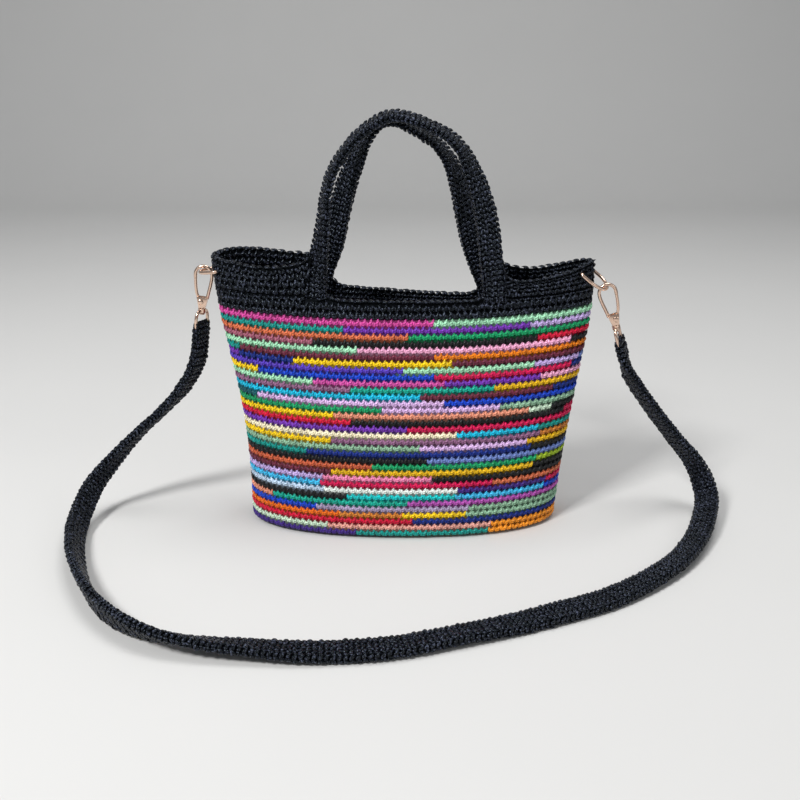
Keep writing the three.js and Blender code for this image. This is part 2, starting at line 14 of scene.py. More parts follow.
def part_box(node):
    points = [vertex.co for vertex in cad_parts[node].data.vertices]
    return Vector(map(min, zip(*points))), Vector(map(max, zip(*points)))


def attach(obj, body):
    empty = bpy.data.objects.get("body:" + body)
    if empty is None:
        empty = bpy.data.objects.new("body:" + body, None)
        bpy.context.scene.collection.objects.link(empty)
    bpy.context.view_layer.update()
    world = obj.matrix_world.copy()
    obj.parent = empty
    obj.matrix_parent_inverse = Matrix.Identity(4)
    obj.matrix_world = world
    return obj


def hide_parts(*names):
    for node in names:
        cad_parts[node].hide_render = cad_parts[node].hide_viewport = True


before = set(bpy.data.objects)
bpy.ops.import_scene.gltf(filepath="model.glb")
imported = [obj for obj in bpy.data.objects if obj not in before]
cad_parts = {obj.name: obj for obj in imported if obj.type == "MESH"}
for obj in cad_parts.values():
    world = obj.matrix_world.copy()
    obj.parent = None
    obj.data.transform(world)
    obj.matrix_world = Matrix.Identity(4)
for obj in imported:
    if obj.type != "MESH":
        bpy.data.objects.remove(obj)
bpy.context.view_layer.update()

bl_info = {
    "name": "Crocheted shoulder bag",
    "version": (1, 0, 0),
    "blender": (4, 5, 0),
    "location": "View3D > Sidebar > Bag",
    "description": "Builds a striped crochet bag stitch by stitch, with handles, strap and metal fittings",
    "category": "Object",
}

MM = 0.001
TAU = 2 * math.pi
TABLE_POINTS, DIP_POINTS, ROUND_POINTS, LINE_POINTS = 201, 121, 2881, 4001

# Form of the bag: half length and half depth of its oval at each height
BODY_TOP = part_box("crochet_body")[1].z
BAND_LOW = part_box("top_band")[0].z
BAND_TOP = BODY_TOP + 33 * MM
NOTCH_FLOOR = BODY_TOP + 10 * MM
BASE_HALF = (114.5 * MM, 46 * MM)
TOP_HALF = (133 * MM, 27.5 * MM)
LENGTH_SHARE = ((0, 0), (0.25, 0.09), (0.5, 0.28), (0.75, 0.6), (1, 0.92))
DEPTH_SHARE = ((0, 0), (0.5, 0.3), (1, 0.85))
END_SHARPNESS = (2.2, 1.5)
SIDE_FULLNESS = (2.25, 2.2)
FIRST_ROUND = 2.5 * MM

# Slack of the soft cloth: lean to the right, rounds that dip at the middle and rise at the ends,
# a blunter left end and a back wall that slumps at the right
LEAN = 3 * MM
ROUND_DIP, ROUND_RISE = 2.8 * MM, 2.6 * MM
LEFT_BLUNT = 1.2
SLUMP_IN, SLUMP_DOWN, SLUMP_FROM, SLUMP_OVER = 0.42, 4 * MM, -60 * MM, 110 * MM
SLUMP_ENDS, SLUMP_FADE_FROM, SLUMP_FADE = 0.85, 85 * MM, 45 * MM

# How far the rim dips along the front and the back: x and depth in millimetres
FRONT_DIP = (
    (-133, -2.6), (-118, -0.6), (-98, 2), (-70, 0.8), (0, 4), (75, 13), (92, 11.6), (115, 7),
    (127, 2.6), (133, 0),
)
BACK_DIP = (
    (-133, -2.6), (-121, -5.2), (-98, -3.2), (-72, 1.8), (-58, 4), (0, 6), (75, 6.8), (92, 6),
    (115, 2.8), (127, 0.5), (133, 0),
)

# Fabric drawn up and in round the handle feet, at the front left, front right, back left and back right
CORNER_RISE = (7.5 * MM, 7.5 * MM, 2.5 * MM, 16 * MM)
CORNER_RUN = (5.5 * MM, 5.5 * MM, 5.5 * MM, 9 * MM)
CORNER_PULL = (7.5 * MM, 3.5 * MM, 7 * MM, 11 * MM)
PULL_RUN, PULL_GROWTH = 18 * MM, 1.5
NOTCH_RISE = (3 * MM, 3 * MM, 7 * MM, 3 * MM)
NOTCH_RUN = 4 * MM
NOTCH_ROOM = 0.02
FRONT_FLOOR_RISE = 2.2 * MM

# Carrying handles: x share of the leg spacing, y share of the wall, height share, turn to edge-on
LEG_CENTRE = 61 * MM
LEG_INNER = 52.8 * MM
NOTCH_HALF = 69.5 * MM
FRONT_LINE = (
    (-1, -0.86, 0, 0.02), (-0.99, -0.85, 0.1, 0.22), (-0.94, -0.8, 0.25, 0.55),
    (-0.885, -0.7, 0.42, 0.74), (-0.838, -0.58, 0.595, 0.82), (-0.775, -0.47, 0.692, 0.85),
    (-0.67, -0.37, 0.78, 0.86), (-0.505, -0.31, 0.876, 0.86), (-0.362, -0.29, 0.932, 0.86),
    (-0.24, -0.29, 0.968, 0.86), (-0.09, -0.29, 0.985, 0.86), (0.078, -0.29, 0.97, 0.86),
    (0.288, -0.29, 0.93, 0.86), (0.503, -0.3, 0.873, 0.84), (0.642, -0.33, 0.8, 0.76),
    (0.736, -0.38, 0.702, 0.58), (0.815, -0.46, 0.6, 0.39), (0.908, -0.62, 0.426, 0.2),
    (0.955, -0.78, 0.227, 0.06), (0.99, -0.84, 0.1, 0.02), (1, -0.86, 0, 0.02),
)
BACK_LINE = (
    (-1, 0.86, 0, 0.02), (-0.96, 0.83, 0.1, 0.04), (-0.835, 0.74, 0.264, 0.08),
    (-0.71, 0.58, 0.525, 0.22), (-0.611, 0.46, 0.675, 0.4), (-0.505, 0.37, 0.815, 0.58),
    (-0.43, 0.32, 0.884, 0.74), (-0.357, 0.29, 0.935, 0.83), (-0.291, 0.29, 0.97, 0.86),
    (-0.181, 0.29, 1, 0.86), (-0.05, 0.29, 0.995, 0.86), (0.109, 0.29, 0.952, 0.86),
    (0.341, 0.3, 0.88, 0.84), (0.493, 0.34, 0.793, 0.74), (0.612, 0.42, 0.645, 0.54),
    (0.676, 0.52, 0.526, 0.4), (0.743, 0.64, 0.384, 0.22), (0.83, 0.75, 0.24, 0.1),
    (0.955, 0.83, 0.09, 0.03), (1, 0.86, 0, 0.02),
)
FRONT_APEX = BODY_TOP + 130.5 * MM
BACK_APEX = FRONT_APEX - 5.6 * MM
FOOT_GAP = 0.3 * MM
FOOT_DIP = 2 * MM
FOOT_IN = 0.28
FOOT_LEAN = LEAN / 3

# Shoulder strap: centre points in millimetres and the direction of its width at each
STRAP_FLOOR = (
    (-151, 8.5, 116, 0.42, 0.9, 0), (-163, 10, 96, 0.42, 0.9, 0), (-178, 10, 80, 0.32, 0.93, 0),
    (-199, 8, 61, 0.2, 0.95, -0.2), (-216.5, 3, 43, 0.25, 0.85, -0.45),
    (-232, -8, 24.5, 0.4, 0.55, -0.72), (-235, -38, 11, 0.5, 0.2, -0.85),
    (-223.5, -81, 9, 0.45, 0.1, -0.88), (-206, -118, 9, 0.3, 0.15, -0.93),
    (-187, -146, 8.5, 0.05, 0.3, -0.93), (-166, -165, 8, -0.1, 0.5, -0.84),
    (-144, -176, 7, -0.1, 0.7, -0.68), (-120, -181, 6, -0.1, 0.85, -0.45),
    (-87, -184, 5, 0, 0.95, -0.25), (-59, -185.5, 4, 0, 1, -0.08), (-31, -184, 4, 0, 1, 0),
    (-2.4, -180, 4, -0.1, 1, -0.05), (36.6, -168, 4, -0.3, 0.95, -0.12),
    (64.8, -158, 4, -0.35, 0.93, -0.03), (94.6, -146, 4, -0.38, 0.92, 0.05),
    (125.4, -132, 4, -0.45, 0.9, 0.03), (160.7, -108, 5, -0.6, 0.78, -0.13),
    (191, -79, 6, -0.75, 0.6, -0.25), (215, -42, 9, -0.86, 0.4, -0.35),
    (229, -4, 17.5, -0.78, 0.4, -0.42), (223, 8, 34.5, -0.5, 0.75, -0.4),
    (204, 10, 57.5, -0.35, 0.9, -0.3), (183.5, 6, 83, -0.3, 0.93, -0.2),
    (165.5, 0, 108, -0.3, 0.94, -0.1),
)
STRAP_ENDS_ALONG = (-2.8, 0.0, 7.0)
STRAP_TAPER = (9 * MM, 55 * MM)
STRAP_END_WIDTH = 16.6 * MM
STRAP_END_THICK = 7 * MM
STRAP_TIP, STRAP_TIP_RUN = 0.12, 3 * MM
LEAST_THICK, LEAST_FLAT = 0.3 * MM, 1.05
FLOOR_CLEAR = 0.4 * MM

# D-rings and snap hooks, in millimetres
RING_WIRE, RING_HALF, RING_DEPTH, RING_STRAIGHT, RING_CORNER = 1.2, 13.0, 19.0, 7.0, 1.6
RING_LEG_SHARE = 0.6
RING_TURN = math.radians(-24)
RING_SEAT = {-1: (9.5, 187.5, math.radians(8)), 1: (6.0, 186.0, math.radians(36))}
HOOK_TILT = {-1: math.radians(6.8), 1: math.radians(18)}
HOOK_WIRE, ARCH_RADIUS, HOOK_SLACK, NOSE_END = 1.2, 5.8, 0.35, 8.6
PLATE_TOP, PLATE_LOW, PLATE_HALF_TOP, PLATE_HALF_LOW = 22.0, 30.0, 4.0, 2.3
PLATE_THICK, SLOT_THICK, GATE_THICK = 5.0, 2.8, 1.8
RIVET_DOWN, RIVET_SIDE, RIVET_RADIUS, RIVET_HEAD, RIVET_HEAD_THICK = 25.6, 0.9, 1.1, 2.0, 0.7
GATE_BOSS, POST_RADIUS, POST_HEAD_RADIUS, POST_HEAD_THICK = 2.4, 1.3, 2.1, 1.1
COLLAR_RADIUS, COLLAR_LENGTH = 2.9, 3.2
EYE_WIRE, EYE_HALF, EYE_BAR = 1.2, 6.9, 44.5
EYE_TURN = math.radians(68)
FIT = 0.35
GATE_FIT = 0.8  # of the fit, between the gate's bore and its rivet
DOME_WIDTH, DOME_RISE, DOME_TOP = 0.7, 0.32, 0.45
WIRE_SIDES, RING_SIDES, TURNED_SIDES = 14, 16, 24
BAR_POINTS, CORNER_STEPS, RING_POINTS = 9, 5, 33
ARCH_POINTS, BOW_POINTS, ARM_POINTS, EYE_POINTS = 13, 70, 30, 80
SIDES = {"left": -1, "right": 1}

# Yarn shades of the multicolour ball and the plain black
YARNS = {
    "black": "08090d", "hot_pink": "ca5599", "mint": "a2d8b4", "teal": "1d8e85", "purple": "7440a8",
    "lilac": "c0aadc", "salmon": "cf7456", "green": "1b945e", "dusty_rose": "a06072",
    "red": "c82640", "pale_pink": "ecaccb", "maroon": "64283a", "amber": "de8036", "navy": "1d2f7a",
    "yellow": "f0cb40", "brown": "5c3028", "violet": "5b46b0", "periwinkle": "7589c4",
    "blue": "2848bc", "crimson": "cc1e52", "magenta": "c85aa0", "mauve": "885f7e",
    "teal_green": "1d9f8a", "gold": "e0b43a", "cyan": "33b6d6", "dark_teal": "15545c",
    "pale_lilac": "d8b6e2", "sage": "8cb296", "peach": "df967e", "pale_mint": "c8dfc7",
    "cream": "f4eaca", "tan": "c98044", "rust": "c4664c", "lime": "9db83a", "pink": "f092b8",
    "sky": "54b8e2", "pale_blue": "bfd2e6", "off_white": "e2eae4", "indigo": "402b78",
    "turquoise": "20bcbc", "orchid": "b059ac", "grey_lilac": "a99ab8", "orange": "e4763f",
    "coral": "dea396", "tangerine": "ee9a48",
}

# Rounds from the top down: each yarn, and the stitch right of the front centre where it ends
STRIPES = (
    "hot_pink 4 mint",
    "teal -9 purple 19 lilac",
    "salmon 0 green",
    "dusty_rose -14 black 20 red",
    "mint -7 pale_pink 26 black",
    "teal -26 maroon 4 amber 29 salmon",
    "purple -26 navy -17 yellow 7 maroon 29 brown",
    "violet -1 mint 19 lilac 27 periwinkle",
    "yellow -23 blue 4 crimson 26 navy",
    "mint -14 magenta 6 purple 21 pale_pink",
    "mauve -9 teal_green 13 gold",
    "cyan 2 maroon 23 navy",
    "dark_teal -24 pale_lilac 5 blue",
    "green -4 pale_lilac 14 sage",
    "yellow -11 peach 19 pale_mint 23 black",
    "red -9 black 25 crimson",
    "purple 0 crimson",
    "cream 8 cyan 21 teal",
    "yellow -12 mauve 21 tan",
    "sage 2 pale_lilac 19 gold",
    "teal -16 navy 19 black",
    "black 3 periwinkle",
    "rust -5 green 21 lime",
    "maroon -12 gold 20 black",
    "lilac -13 pink 4 black",
    "sky -13 crimson 14 salmon",
    "pale_blue -13 off_white 8 indigo 23 crimson",
    "black -9 turquoise 8 sky 23 blue",
    "peach -22 teal_green 0 orchid",
    "blue -14 grey_lilac 10 sage",
    "orange -10 tan 0 yellow 10 sage",
    "red 1 navy",
    "pale_mint -12 coral 14 tangerine",
    "indigo -7 teal 14 tangerine",
)
FRONT_STITCHES = 32
RUN_LENGTHS = (18, 32)
STRIPE_SEED = 7

# Strands of one stitch in its cell: across, up, out and thickness share along each strand
LEFT_STRAND = ((-0.56, 0.88, 0.2, 0), (-0.42, 0.62, 0.46, 1.0), (-0.24, 0.32, 0.57, 1.22),
               (-0.05, 0.08, 0.46, 1.1), (0.09, -0.1, 0.25, 0))
RIGHT_STRAND = ((-0.06, -0.1, 0.28, 0), (0.1, 0.14, 0.52, 1.2), (0.25, 0.46, 0.66, 1.2),
                (0.38, 0.84, 0.68, 0.62), (0.52, 1.2, 0.5, 0))
SHORT_STRAND = ((0.0, -0.1, 0.28, 0), (0.1, 0.12, 0.48, 0.85), (0.24, 0.46, 0.6, 1),
                (0.36, 0.76, 0.52, 0.8), (0.46, 1.04, 0.2, 0))
BAR_STRAND = ((-0.62, 0.5, 0.3, 0), (-0.34, 0.56, 0.52, 0.9), (0.0, 0.46, 0.56, 1),
              (0.34, 0.4, 0.52, 0.9), (0.62, 0.46, 0.3, 0))
STRAND_HALF = (0.265, 0.42)
STRAND_SIDES = 5
BLACK_PLUMP = 1.02
STITCH_TONE = 0.55
STITCH_TREE = "Crochet stitches"

# Steps of the seed, so that each piece is uneven in its own way
BAND_STEP, FRONT_STEP, BACK_STEP, STRAP_STEP = 40, 50, 53, 60

# Fabric: how rounds and rows are set, and cores and stitches as shares of the stitch depth
ROUND_SHIFT, BAND_SHIFT, BASE_SHIFT = 0.38, 0.4, 0.3
EDGE_SQUASH = 0.72
SUNK_ROW, ROW_LAP = 0.78, 1.1
BODY_COLUMNS, LEAST_STITCHES = 120, 6
CORE_SHARE, BODY_CORE_SHARE = 0.92, 0.44
END_CORE_FILL, END_CORE_POWER = 0.6, 8
INNER_CORE_SHARE, INNER_BED_SHARE, INNER_STITCH = 0.6, 0.55, 0.75
BAND_CORE_SHARE, BAND_STITCH = 0.55, 0.7
BASE_EDGE, BASE_STITCH, BASE_BED_SHARE = 4 * MM, 0.85, 0.9
FLOOR_RINGS, FLOOR_CORE_SHARE = (30 * MM, 8 * MM), 0.9
RIM_DROP, RIM_STITCH = 0.6 * MM, 0.9
STRAP_STITCH = 0.85
HANDLE_STITCH = 0.34  # of the handle's thickness
NUDGE = 1e-3

# Looks of the yarns: roughness, sheen, shine and its tint, painted shade in the gaps between stitches, fuzz,
# and bright flecks of painted glint
YARN_LOOKS = {
    "striped yarn": {"gloss": 0.32, "sheen": 0.03, "shine": 0.36, "glint": (1, 1, 1, 1),
                     "gap": 0.54, "fuzz": 0.6, "painted_glint": 1.4},
    "black yarn": {"gloss": 0.16, "sheen": 0.0, "shine": 0.26, "glint": (0.72, 0.86, 1, 1),
                   "gap": 0.1, "fuzz": 0.8, "painted_glint": 26},
}
SHEEN_ROUGH = 0.4

# Looks that both yarns share: depth of the dye, plies with painted shade in their grooves and painted
# highlight on their ridges, fuzz, uneven patches, and painted glints as flecks
DYE_DEPTH = 1.07
PLIES, PLY_TURNS, PLY_SHADE_AND_HIGHLIGHT = 3.0, 3.0, (0.45, 1.4)
PLY_BUMP, PLY_HEIGHT, FUZZ_HEIGHT = 0.9, 0.6 * MM, 0.25 * MM
# Top of the brightness scale that runs up from the painted shade of the gaps to the lightest stitches
TOP_LIGHT = 1.2
FUZZ_SCALE, FUZZ_DETAIL, FUZZ_ROUGH = 1400, 3, 0.2
PATCH_SCALE, PATCH_LIGHT = 90, (0.82, 1.18)
# Bright flecks of painted glint, standing in for the sparkle of light on the fibres
PAINTED_GLINT_SCALE, PAINTED_GLINT_DETAIL, PAINTED_GLINT_BAND = 800, 1, (0.54, 0.66)

# Look of the metal plate: rubbed along its height, with a cloudy tint
RUB_WAY, RUB_SCALE, RUB_DETAIL = (1, 1, 0.15), 2600, 4
RUB_ROUGH, RUB_BUMP, RUB_HEIGHT = (0.12, 0.34), 0.15, 0.05 * MM
CLOUD_SCALE, CLOUD_DARK = 160, 0.9
SHARP_EDGE = math.radians(40)


def shade(text):
    """A written shade as linear red, green and blue."""
    parts = [int(text[i:i + 2], 16) / 255 for i in (0, 2, 4)]
    return tuple(c / 12.92 if c <= 0.04045 else ((c + 0.055) / 1.055) ** 2.4 for c in parts)


def length_property(label, about, size):
    return FloatProperty(name=label, description=about, default=size, min=0, unit="LENGTH", precision=4)


def count_property(label, about, count, least):
    return IntProperty(name=label, description=about, default=count, min=least)


def wobble_property(label, about, size, kind):
    return FloatProperty(name=label, description=about, default=size, subtype=kind)


def colour_property(label, about, value):
    return FloatVectorProperty(
        name=label, description=about, default=value, size=3, min=0, max=1, subtype="COLOR"
    )


class BagSizes(PropertyGroup):
    """Sizes of the crochet that a maker would change."""

    stitch_width: length_property("Stitch width", "Width of one stitch along its round", 4.66 * MM)
    stitch_depth: length_property("Stitch depth", "How far a stitch stands out", 2.0 * MM)
    wall: length_property("Wall", "Thickness of the crochet wall", 4.6 * MM)
    handle_width: length_property("Handle width", "Width of a carrying handle", 16.4 * MM)
    handle_thick: length_property("Handle thickness", "Thickness of a carrying handle", 4.8 * MM)
    strap_width: length_property("Strap width", "Width of the shoulder strap", 18 * MM)
    strap_thick: length_property("Strap thickness", "Thickness of the shoulder strap", 7 * MM)
    row_height: length_property("Row height", "Height of a short row of a handle or the strap", 3.5 * MM)
    body_rounds: count_property("Body rounds", "Rounds in the striped body", 34, 1)
    band_rounds: count_property("Band rounds", "Rounds in the black band", 7, 3)
    handle_columns: count_property("Handle columns", "Stitches round a handle", 8, 6)
    strap_columns: count_property("Strap columns", "Stitches round the strap", 10, 6)
    turn_wobble: wobble_property("Turn wobble", "How unevenly stitches turn", math.radians(5), "ANGLE")
    size_wobble: wobble_property("Size wobble", "How unevenly stitches are sized", 0.07, "FACTOR")
    seed: count_property("Seed", "Seed of the hand-made unevenness", 11, 0)


class BagColours(PropertyGroup):
    """Shades of the yarns, the metal and the stage."""

    __annotations__ = {
        name: colour_property(name.replace("_", " ").capitalize(), "Shade of one yarn", shade(text))
        for name, text in YARNS.items()
    }
    __annotations__["metal"] = colour_property("Metal", "Rose-gold plating", (0.83, 0.6, 0.47))
    __annotations__["floor"] = colour_property("Floor", "Pale stage floor", (0.67, 0.665, 0.65))


# Curves

def spline(points, shares):
    """A centripetal Catmull-Rom curve through points, read at shares of its point count."""
    p = np.asarray(points, float)
    full = np.vstack([2 * p[0] - p[1], p, 2 * p[-1] - p[-2]])
    where = np.clip(np.asarray(shares, float), 0, 1) * (len(p) - 1)
    first = np.minimum(where.astype(int), len(p) - 2)
    w = (where - first)[:, None]
    a, b, c, d = (full[first + k] for k in range(4))
    spans = [np.linalg.norm(step, axis=1, keepdims=True) for step in (b - a, c - b, d - c)]
    gap = [np.maximum(span, 1e-9) ** 0.5 for span in spans]
    t1 = ((b - a) / gap[0] - (c - a) / (gap[0] + gap[1]) + (c - b) / gap[1]) * gap[1]
    t2 = ((c - b) / gap[1] - (d - b) / (gap[1] + gap[2]) + (d - c) / gap[2]) * gap[1]
    return b + t1 * w + (3 * (c - b) - 2 * t1 - t2) * w**2 + (2 * (b - c) + t1 + t2) * w**3


def unit(v):
    return v / np.maximum(np.linalg.norm(v, axis=-1, keepdims=True), 1e-12)


def run_length(points):
    """Distance along a line at each of its points."""
    return np.concatenate([[0], np.cumsum(np.linalg.norm(np.diff(points, axis=0), axis=1))])


def half_size_table(axis, shares):
    low, high = BASE_HALF[axis], TOP_HALF[axis]
    knots = [(BODY_TOP * z, low + (high - low) * s) for z, s in shares]
    knots.append((BAND_TOP, high))
    return spline(knots, np.linspace(0, 1, TABLE_POINTS))


def read_table(table, x):
    return np.interp(x, table[:, 0], table[:, 1])


LENGTH_TABLE = half_size_table(0, LENGTH_SHARE)
DEPTH_TABLE = half_size_table(1, DEPTH_SHARE)
DIP_TABLES = [spline(knots, np.linspace(0, 1, DIP_POINTS)) * MM for knots in (FRONT_DIP, BACK_DIP)]
FINE_ANGLES = np.linspace(-TAU / 4, TAU * 3 / 4, ROUND_POINTS)


def dip_at(x, behind):
    """How far the band's rim dips at x, on the front or behind."""
    front, back = (read_table(table, x) for table in DIP_TABLES)
    return np.where(behind, back, front)


def ease(share):
    """A smooth step from 0 to 1."""
    share = np.clip(share, 0, 1)
    return share * share * (3 - 2 * share)


def slump_at(x):
    """How much of the back wall's slump acts at x."""
    fade = SLUMP_ENDS * ease((x - SLUMP_FADE_FROM) / SLUMP_FADE)
    return ease((x - SLUMP_FROM) / SLUMP_OVER) * (1 - fade)


def at_corner(sizes, x, behind):
    """The size that holds at the handle foot nearest to x."""
    front_left, front_right, back_left, back_right = sizes
    front, back = np.where(x < 0, front_left, front_right), np.where(x < 0, back_left, back_right)
    return np.where(behind, back, front)


def band_share(z, top):
    """How high z is between the band's lower edge and top."""
    return max(0.0, (z - BAND_LOW) / (top - BAND_LOW))


def fillet_at(x, behind, rise, floor_share):
    """How far the fabric is drawn up beside a handle foot."""
    away = np.abs(np.abs(x) - NOTCH_HALF)
    outer = at_corner(CORNER_RISE, x, behind) * rise**3 * np.exp(-away / at_corner(CORNER_RUN, x, behind))
    if rise > band_share(NOTCH_FLOOR, BAND_TOP) + NOTCH_ROOM:
        return outer
    inner = at_corner(NOTCH_RISE, x, behind) * np.exp(-np.abs(np.abs(x) - LEG_INNER) / NOTCH_RUN)
    return outer + (inner + np.where(behind, 0, FRONT_FLOOR_RISE)) * floor_share**2


def edge_pull(points, z):
    """Band points drawn in towards the handle legs beside the notch."""
    x = points[:, 0]
    near = np.exp(-(((np.abs(x) - NOTCH_HALF) / PULL_RUN) ** 2))
    pull = at_corner(CORNER_PULL, x, points[:, 1] > 0) * band_share(z, BAND_TOP) ** PULL_GROWTH
    pulled = points.copy()
    pulled[:, 0] -= np.sign(x) * pull * near
    return pulled


def wall_points(z, angle, inset):
    """Points of the bag's wall at height z, moved in from its outer face, with the slack of the cloth."""
    k = np.clip(z / BAND_TOP, 0, 1)
    c, s = np.cos(angle), np.sin(angle)
    m = END_SHARPNESS[0] + (END_SHARPNESS[1] - END_SHARPNESS[0]) * k + LEFT_BLUNT * k * (c < 0)
    n = SIDE_FULLNESS[0] + (SIDE_FULLNESS[1] - SIDE_FULLNESS[0]) * k
    a, b = (read_table(table, z) - inset for table in (LENGTH_TABLE, DEPTH_TABLE))
    x = a * np.sign(c) * np.abs(c) ** (2 / n)
    back = (s > 0) * slump_at(x)
    y = b * np.sign(s) * np.abs(s) ** (2 / m) * (1 - SLUMP_IN * back * k**3)
    rise, floor_share = band_share(z, BAND_TOP), min(1.0, band_share(z, NOTCH_FLOOR))
    swing = z / BODY_TOP if z < BODY_TOP else (BAND_TOP - z) / (BAND_TOP - BODY_TOP)
    end = (x / a) ** 2
    drop = dip_at(x, s > 0) * rise**2 + SLUMP_DOWN * back * floor_share
    drop -= fillet_at(x, s > 0, rise, floor_share)
    height = z - drop + swing * (ROUND_RISE * end - ROUND_DIP * (1 - end))
    return np.stack([x + LEAN * math.sin(math.pi * k), y, height], axis=-1)


def wall_reach(z, angle, inset, rise=0.0, turn=0.0):
    """From the wall just below or before each point to the wall just above or after it."""
    return wall_points(z + rise, angle + turn, inset) - wall_points(z - rise, angle - turn, inset)


def round_line(z, inset):
    """Distance round the wall at each of the fine angles, from the front centre."""
    return run_length(wall_points(z, FINE_ANGLES, inset))


def round_angles(z, inset, count, shift=0.0):
    """Angles that split a round into equal stitches, the first at the front centre."""
    line = round_line(z, inset)
    wanted = ((np.arange(count) + shift) / count % 1.0) * line[-1]
    return np.interp(wanted, line, FINE_ANGLES)


def stitch_count(z, inset):
    """How many stitches fill a round."""
    return round(round_line(z, inset)[-1] / bpy.context.scene.bag_sizes.stitch_width)


# Crochet beds: where each stitch sits, how it is turned, its size and its yarn

class Bed:
    """Stitch places gathered before they are worked."""

    def __init__(self):
        self.place, self.turn, self.cell, self.yarn = [], [], [], []

    def add(self, middle, up, out, cell, yarn):
        """Stitches at their cells' middles; up is the way a stitch opens, out the way it faces."""
        out = unit(out - up * np.sum(up * out, axis=1, keepdims=True))
        along = np.cross(up, out)
        count = len(middle)
        cell = np.broadcast_to(np.asarray(cell, float), (count, 3))
        yarn = np.broadcast_to(np.asarray(yarn, float), (count, 3))
        for i in range(count):
            frame_of = Matrix((along[i], up[i], out[i])).transposed()
            self.place.append(middle[i] - up[i] * cell[i][1] / 2)
            self.turn.append(tuple(frame_of.to_euler()))
            self.cell.append(tuple(cell[i]))
            self.yarn.append((*yarn[i], 1.0))

    def make(self, name):
        mesh = bpy.data.meshes.new(name)
        mesh.from_pydata([tuple(p) for p in self.place], [], [])
        put_attribute(mesh, "turn", "FLOAT_VECTOR", self.turn)
        put_attribute(mesh, "cell", "FLOAT_VECTOR", self.cell)
        put_attribute(mesh, "yarn", "FLOAT_COLOR", self.yarn)
        return link(bpy.data.objects.new(name, mesh))


def put_attribute(mesh, name, kind, values):
    field = "color" if kind == "FLOAT_COLOR" else "vector"
    attribute = mesh.attributes.new(name, kind, "POINT")
    attribute.data.foreach_set(field, np.asarray(values, np.float32).ravel())


def link(thing):
    bpy.context.scene.collection.objects.link(thing)
    return thing


def stitch_mesh(strands, plump=1.0):
    """One stitch in a unit cell: tapered strands with a length and girth map for the twist of the yarn."""
    verts, faces, maps = [], [], []
    for strand in strands:
        line = np.array(strand)
        tangent = unit(np.gradient(line[:, :2], axis=0))
        last = len(line) - 1
        rings = []
        for i, (x, y, z, share) in enumerate(line):
            rings.append([len(verts) + (k if share else 0) for k in range(STRAND_SIDES)])
            side = np.array([tangent[i][1], -tangent[i][0]]) * STRAND_HALF[0] * share * plump
            for k in range(STRAND_SIDES if share else 1):
                t = TAU * k / STRAND_SIDES
                lift = STRAND_HALF[1] * share * plump * math.sin(t)
                verts.append((x + side[0] * math.cos(t), y + side[1] * math.cos(t), z + lift))
        for k in range(STRAND_SIDES):
            j = (k + 1) % STRAND_SIDES
            for i in range(last):
                corners = {}
                for ring, side, girth in ((i, k, k), (i + 1, k, k), (i + 1, j, k + 1), (i, j, k + 1)):
                    girth = k + 0.5 if ring in (0, last) else girth
                    corners[rings[ring][side]] = (ring / last, girth / STRAND_SIDES)
                faces.append(tuple(corners))
                maps += corners.values()
    mesh = bpy.data.meshes.new("stitch")
    mesh.from_pydata(verts, [], faces)
    layer = mesh.uv_layers.new(name="strand")
    layer.data.foreach_set("uv", np.array(maps, np.float32).ravel())
    face_out(mesh)
    mesh.shade_smooth()
    return link(bpy.data.objects.new("stitch", mesh))


def face_out(mesh):
    """Turns every face outwards and drops points that no face holds."""
    work = bmesh.new()
    work.from_mesh(mesh)
    bmesh.ops.delete(work, geom=[v for v in work.verts if not v.link_faces], context="VERTS")
    bmesh.ops.recalc_face_normals(work, faces=work.faces)
    work.to_mesh(mesh)
    work.free()


class Nodes:
    """Fills a node tree; each socket is given a plain value or another node's output."""

    def __init__(self, tree):
        self.tree = tree

    def feed(self, socket, value):
        if isinstance(value, bpy.types.NodeSocket):
            self.tree.links.new(value, socket)
        else:
            socket.default_value = value

    def fill(self, node, sockets):
        for name, value in sockets.items():
            self.feed(node.inputs[name], value)

    def add(self, kind, sockets=None, **settings):
        node = self.tree.nodes.new(kind)
        for name, value in settings.items():
            setattr(node, name, value)
        self.fill(node, sockets or {})
        return node

    def calculate(self, operation, *values):
        return self.add("ShaderNodeMath", dict(enumerate(values)), operation=operation).outputs[0]

    def scale(self, vector, factor):
        sockets = {0: vector, "Scale": factor}
        return self.add("ShaderNodeVectorMath", sockets, operation="SCALE").outputs[0]

    def noise(self, place, scale, detail=2):
        sockets = {"Vector": place, "Scale": scale, "Detail": detail}
        return self.add("ShaderNodeTexNoise", sockets).outputs["Fac"]

    def spread(self, value, low, high, start=0, end=1):
        """A value from start to end, spread from low to high."""
        sockets = {"Value": value, "From Min": start, "From Max": end, "To Min": low, "To Max": high}
        return self.add("ShaderNodeMapRange", sockets).outputs[0]

    def bump(self, height, strength, distance, under=None):
        """Relief from a height, over the relief under it."""
        node = self.add("ShaderNodeBump", {"Height": height, "Strength": strength, "Distance": distance})
        if under is not None:
            self.feed(node.inputs["Normal"], under)
        return node.outputs[0]

    def tint(self, value, colour, dark):
        """A shade that varies between its dark share and itself."""
        sockets = {"Factor": value, "A": (*[c * dark for c in colour], 1), "B": (*colour, 1)}
        return self.add("ShaderNodeMix", sockets, data_type="RGBA").outputs["Result"]


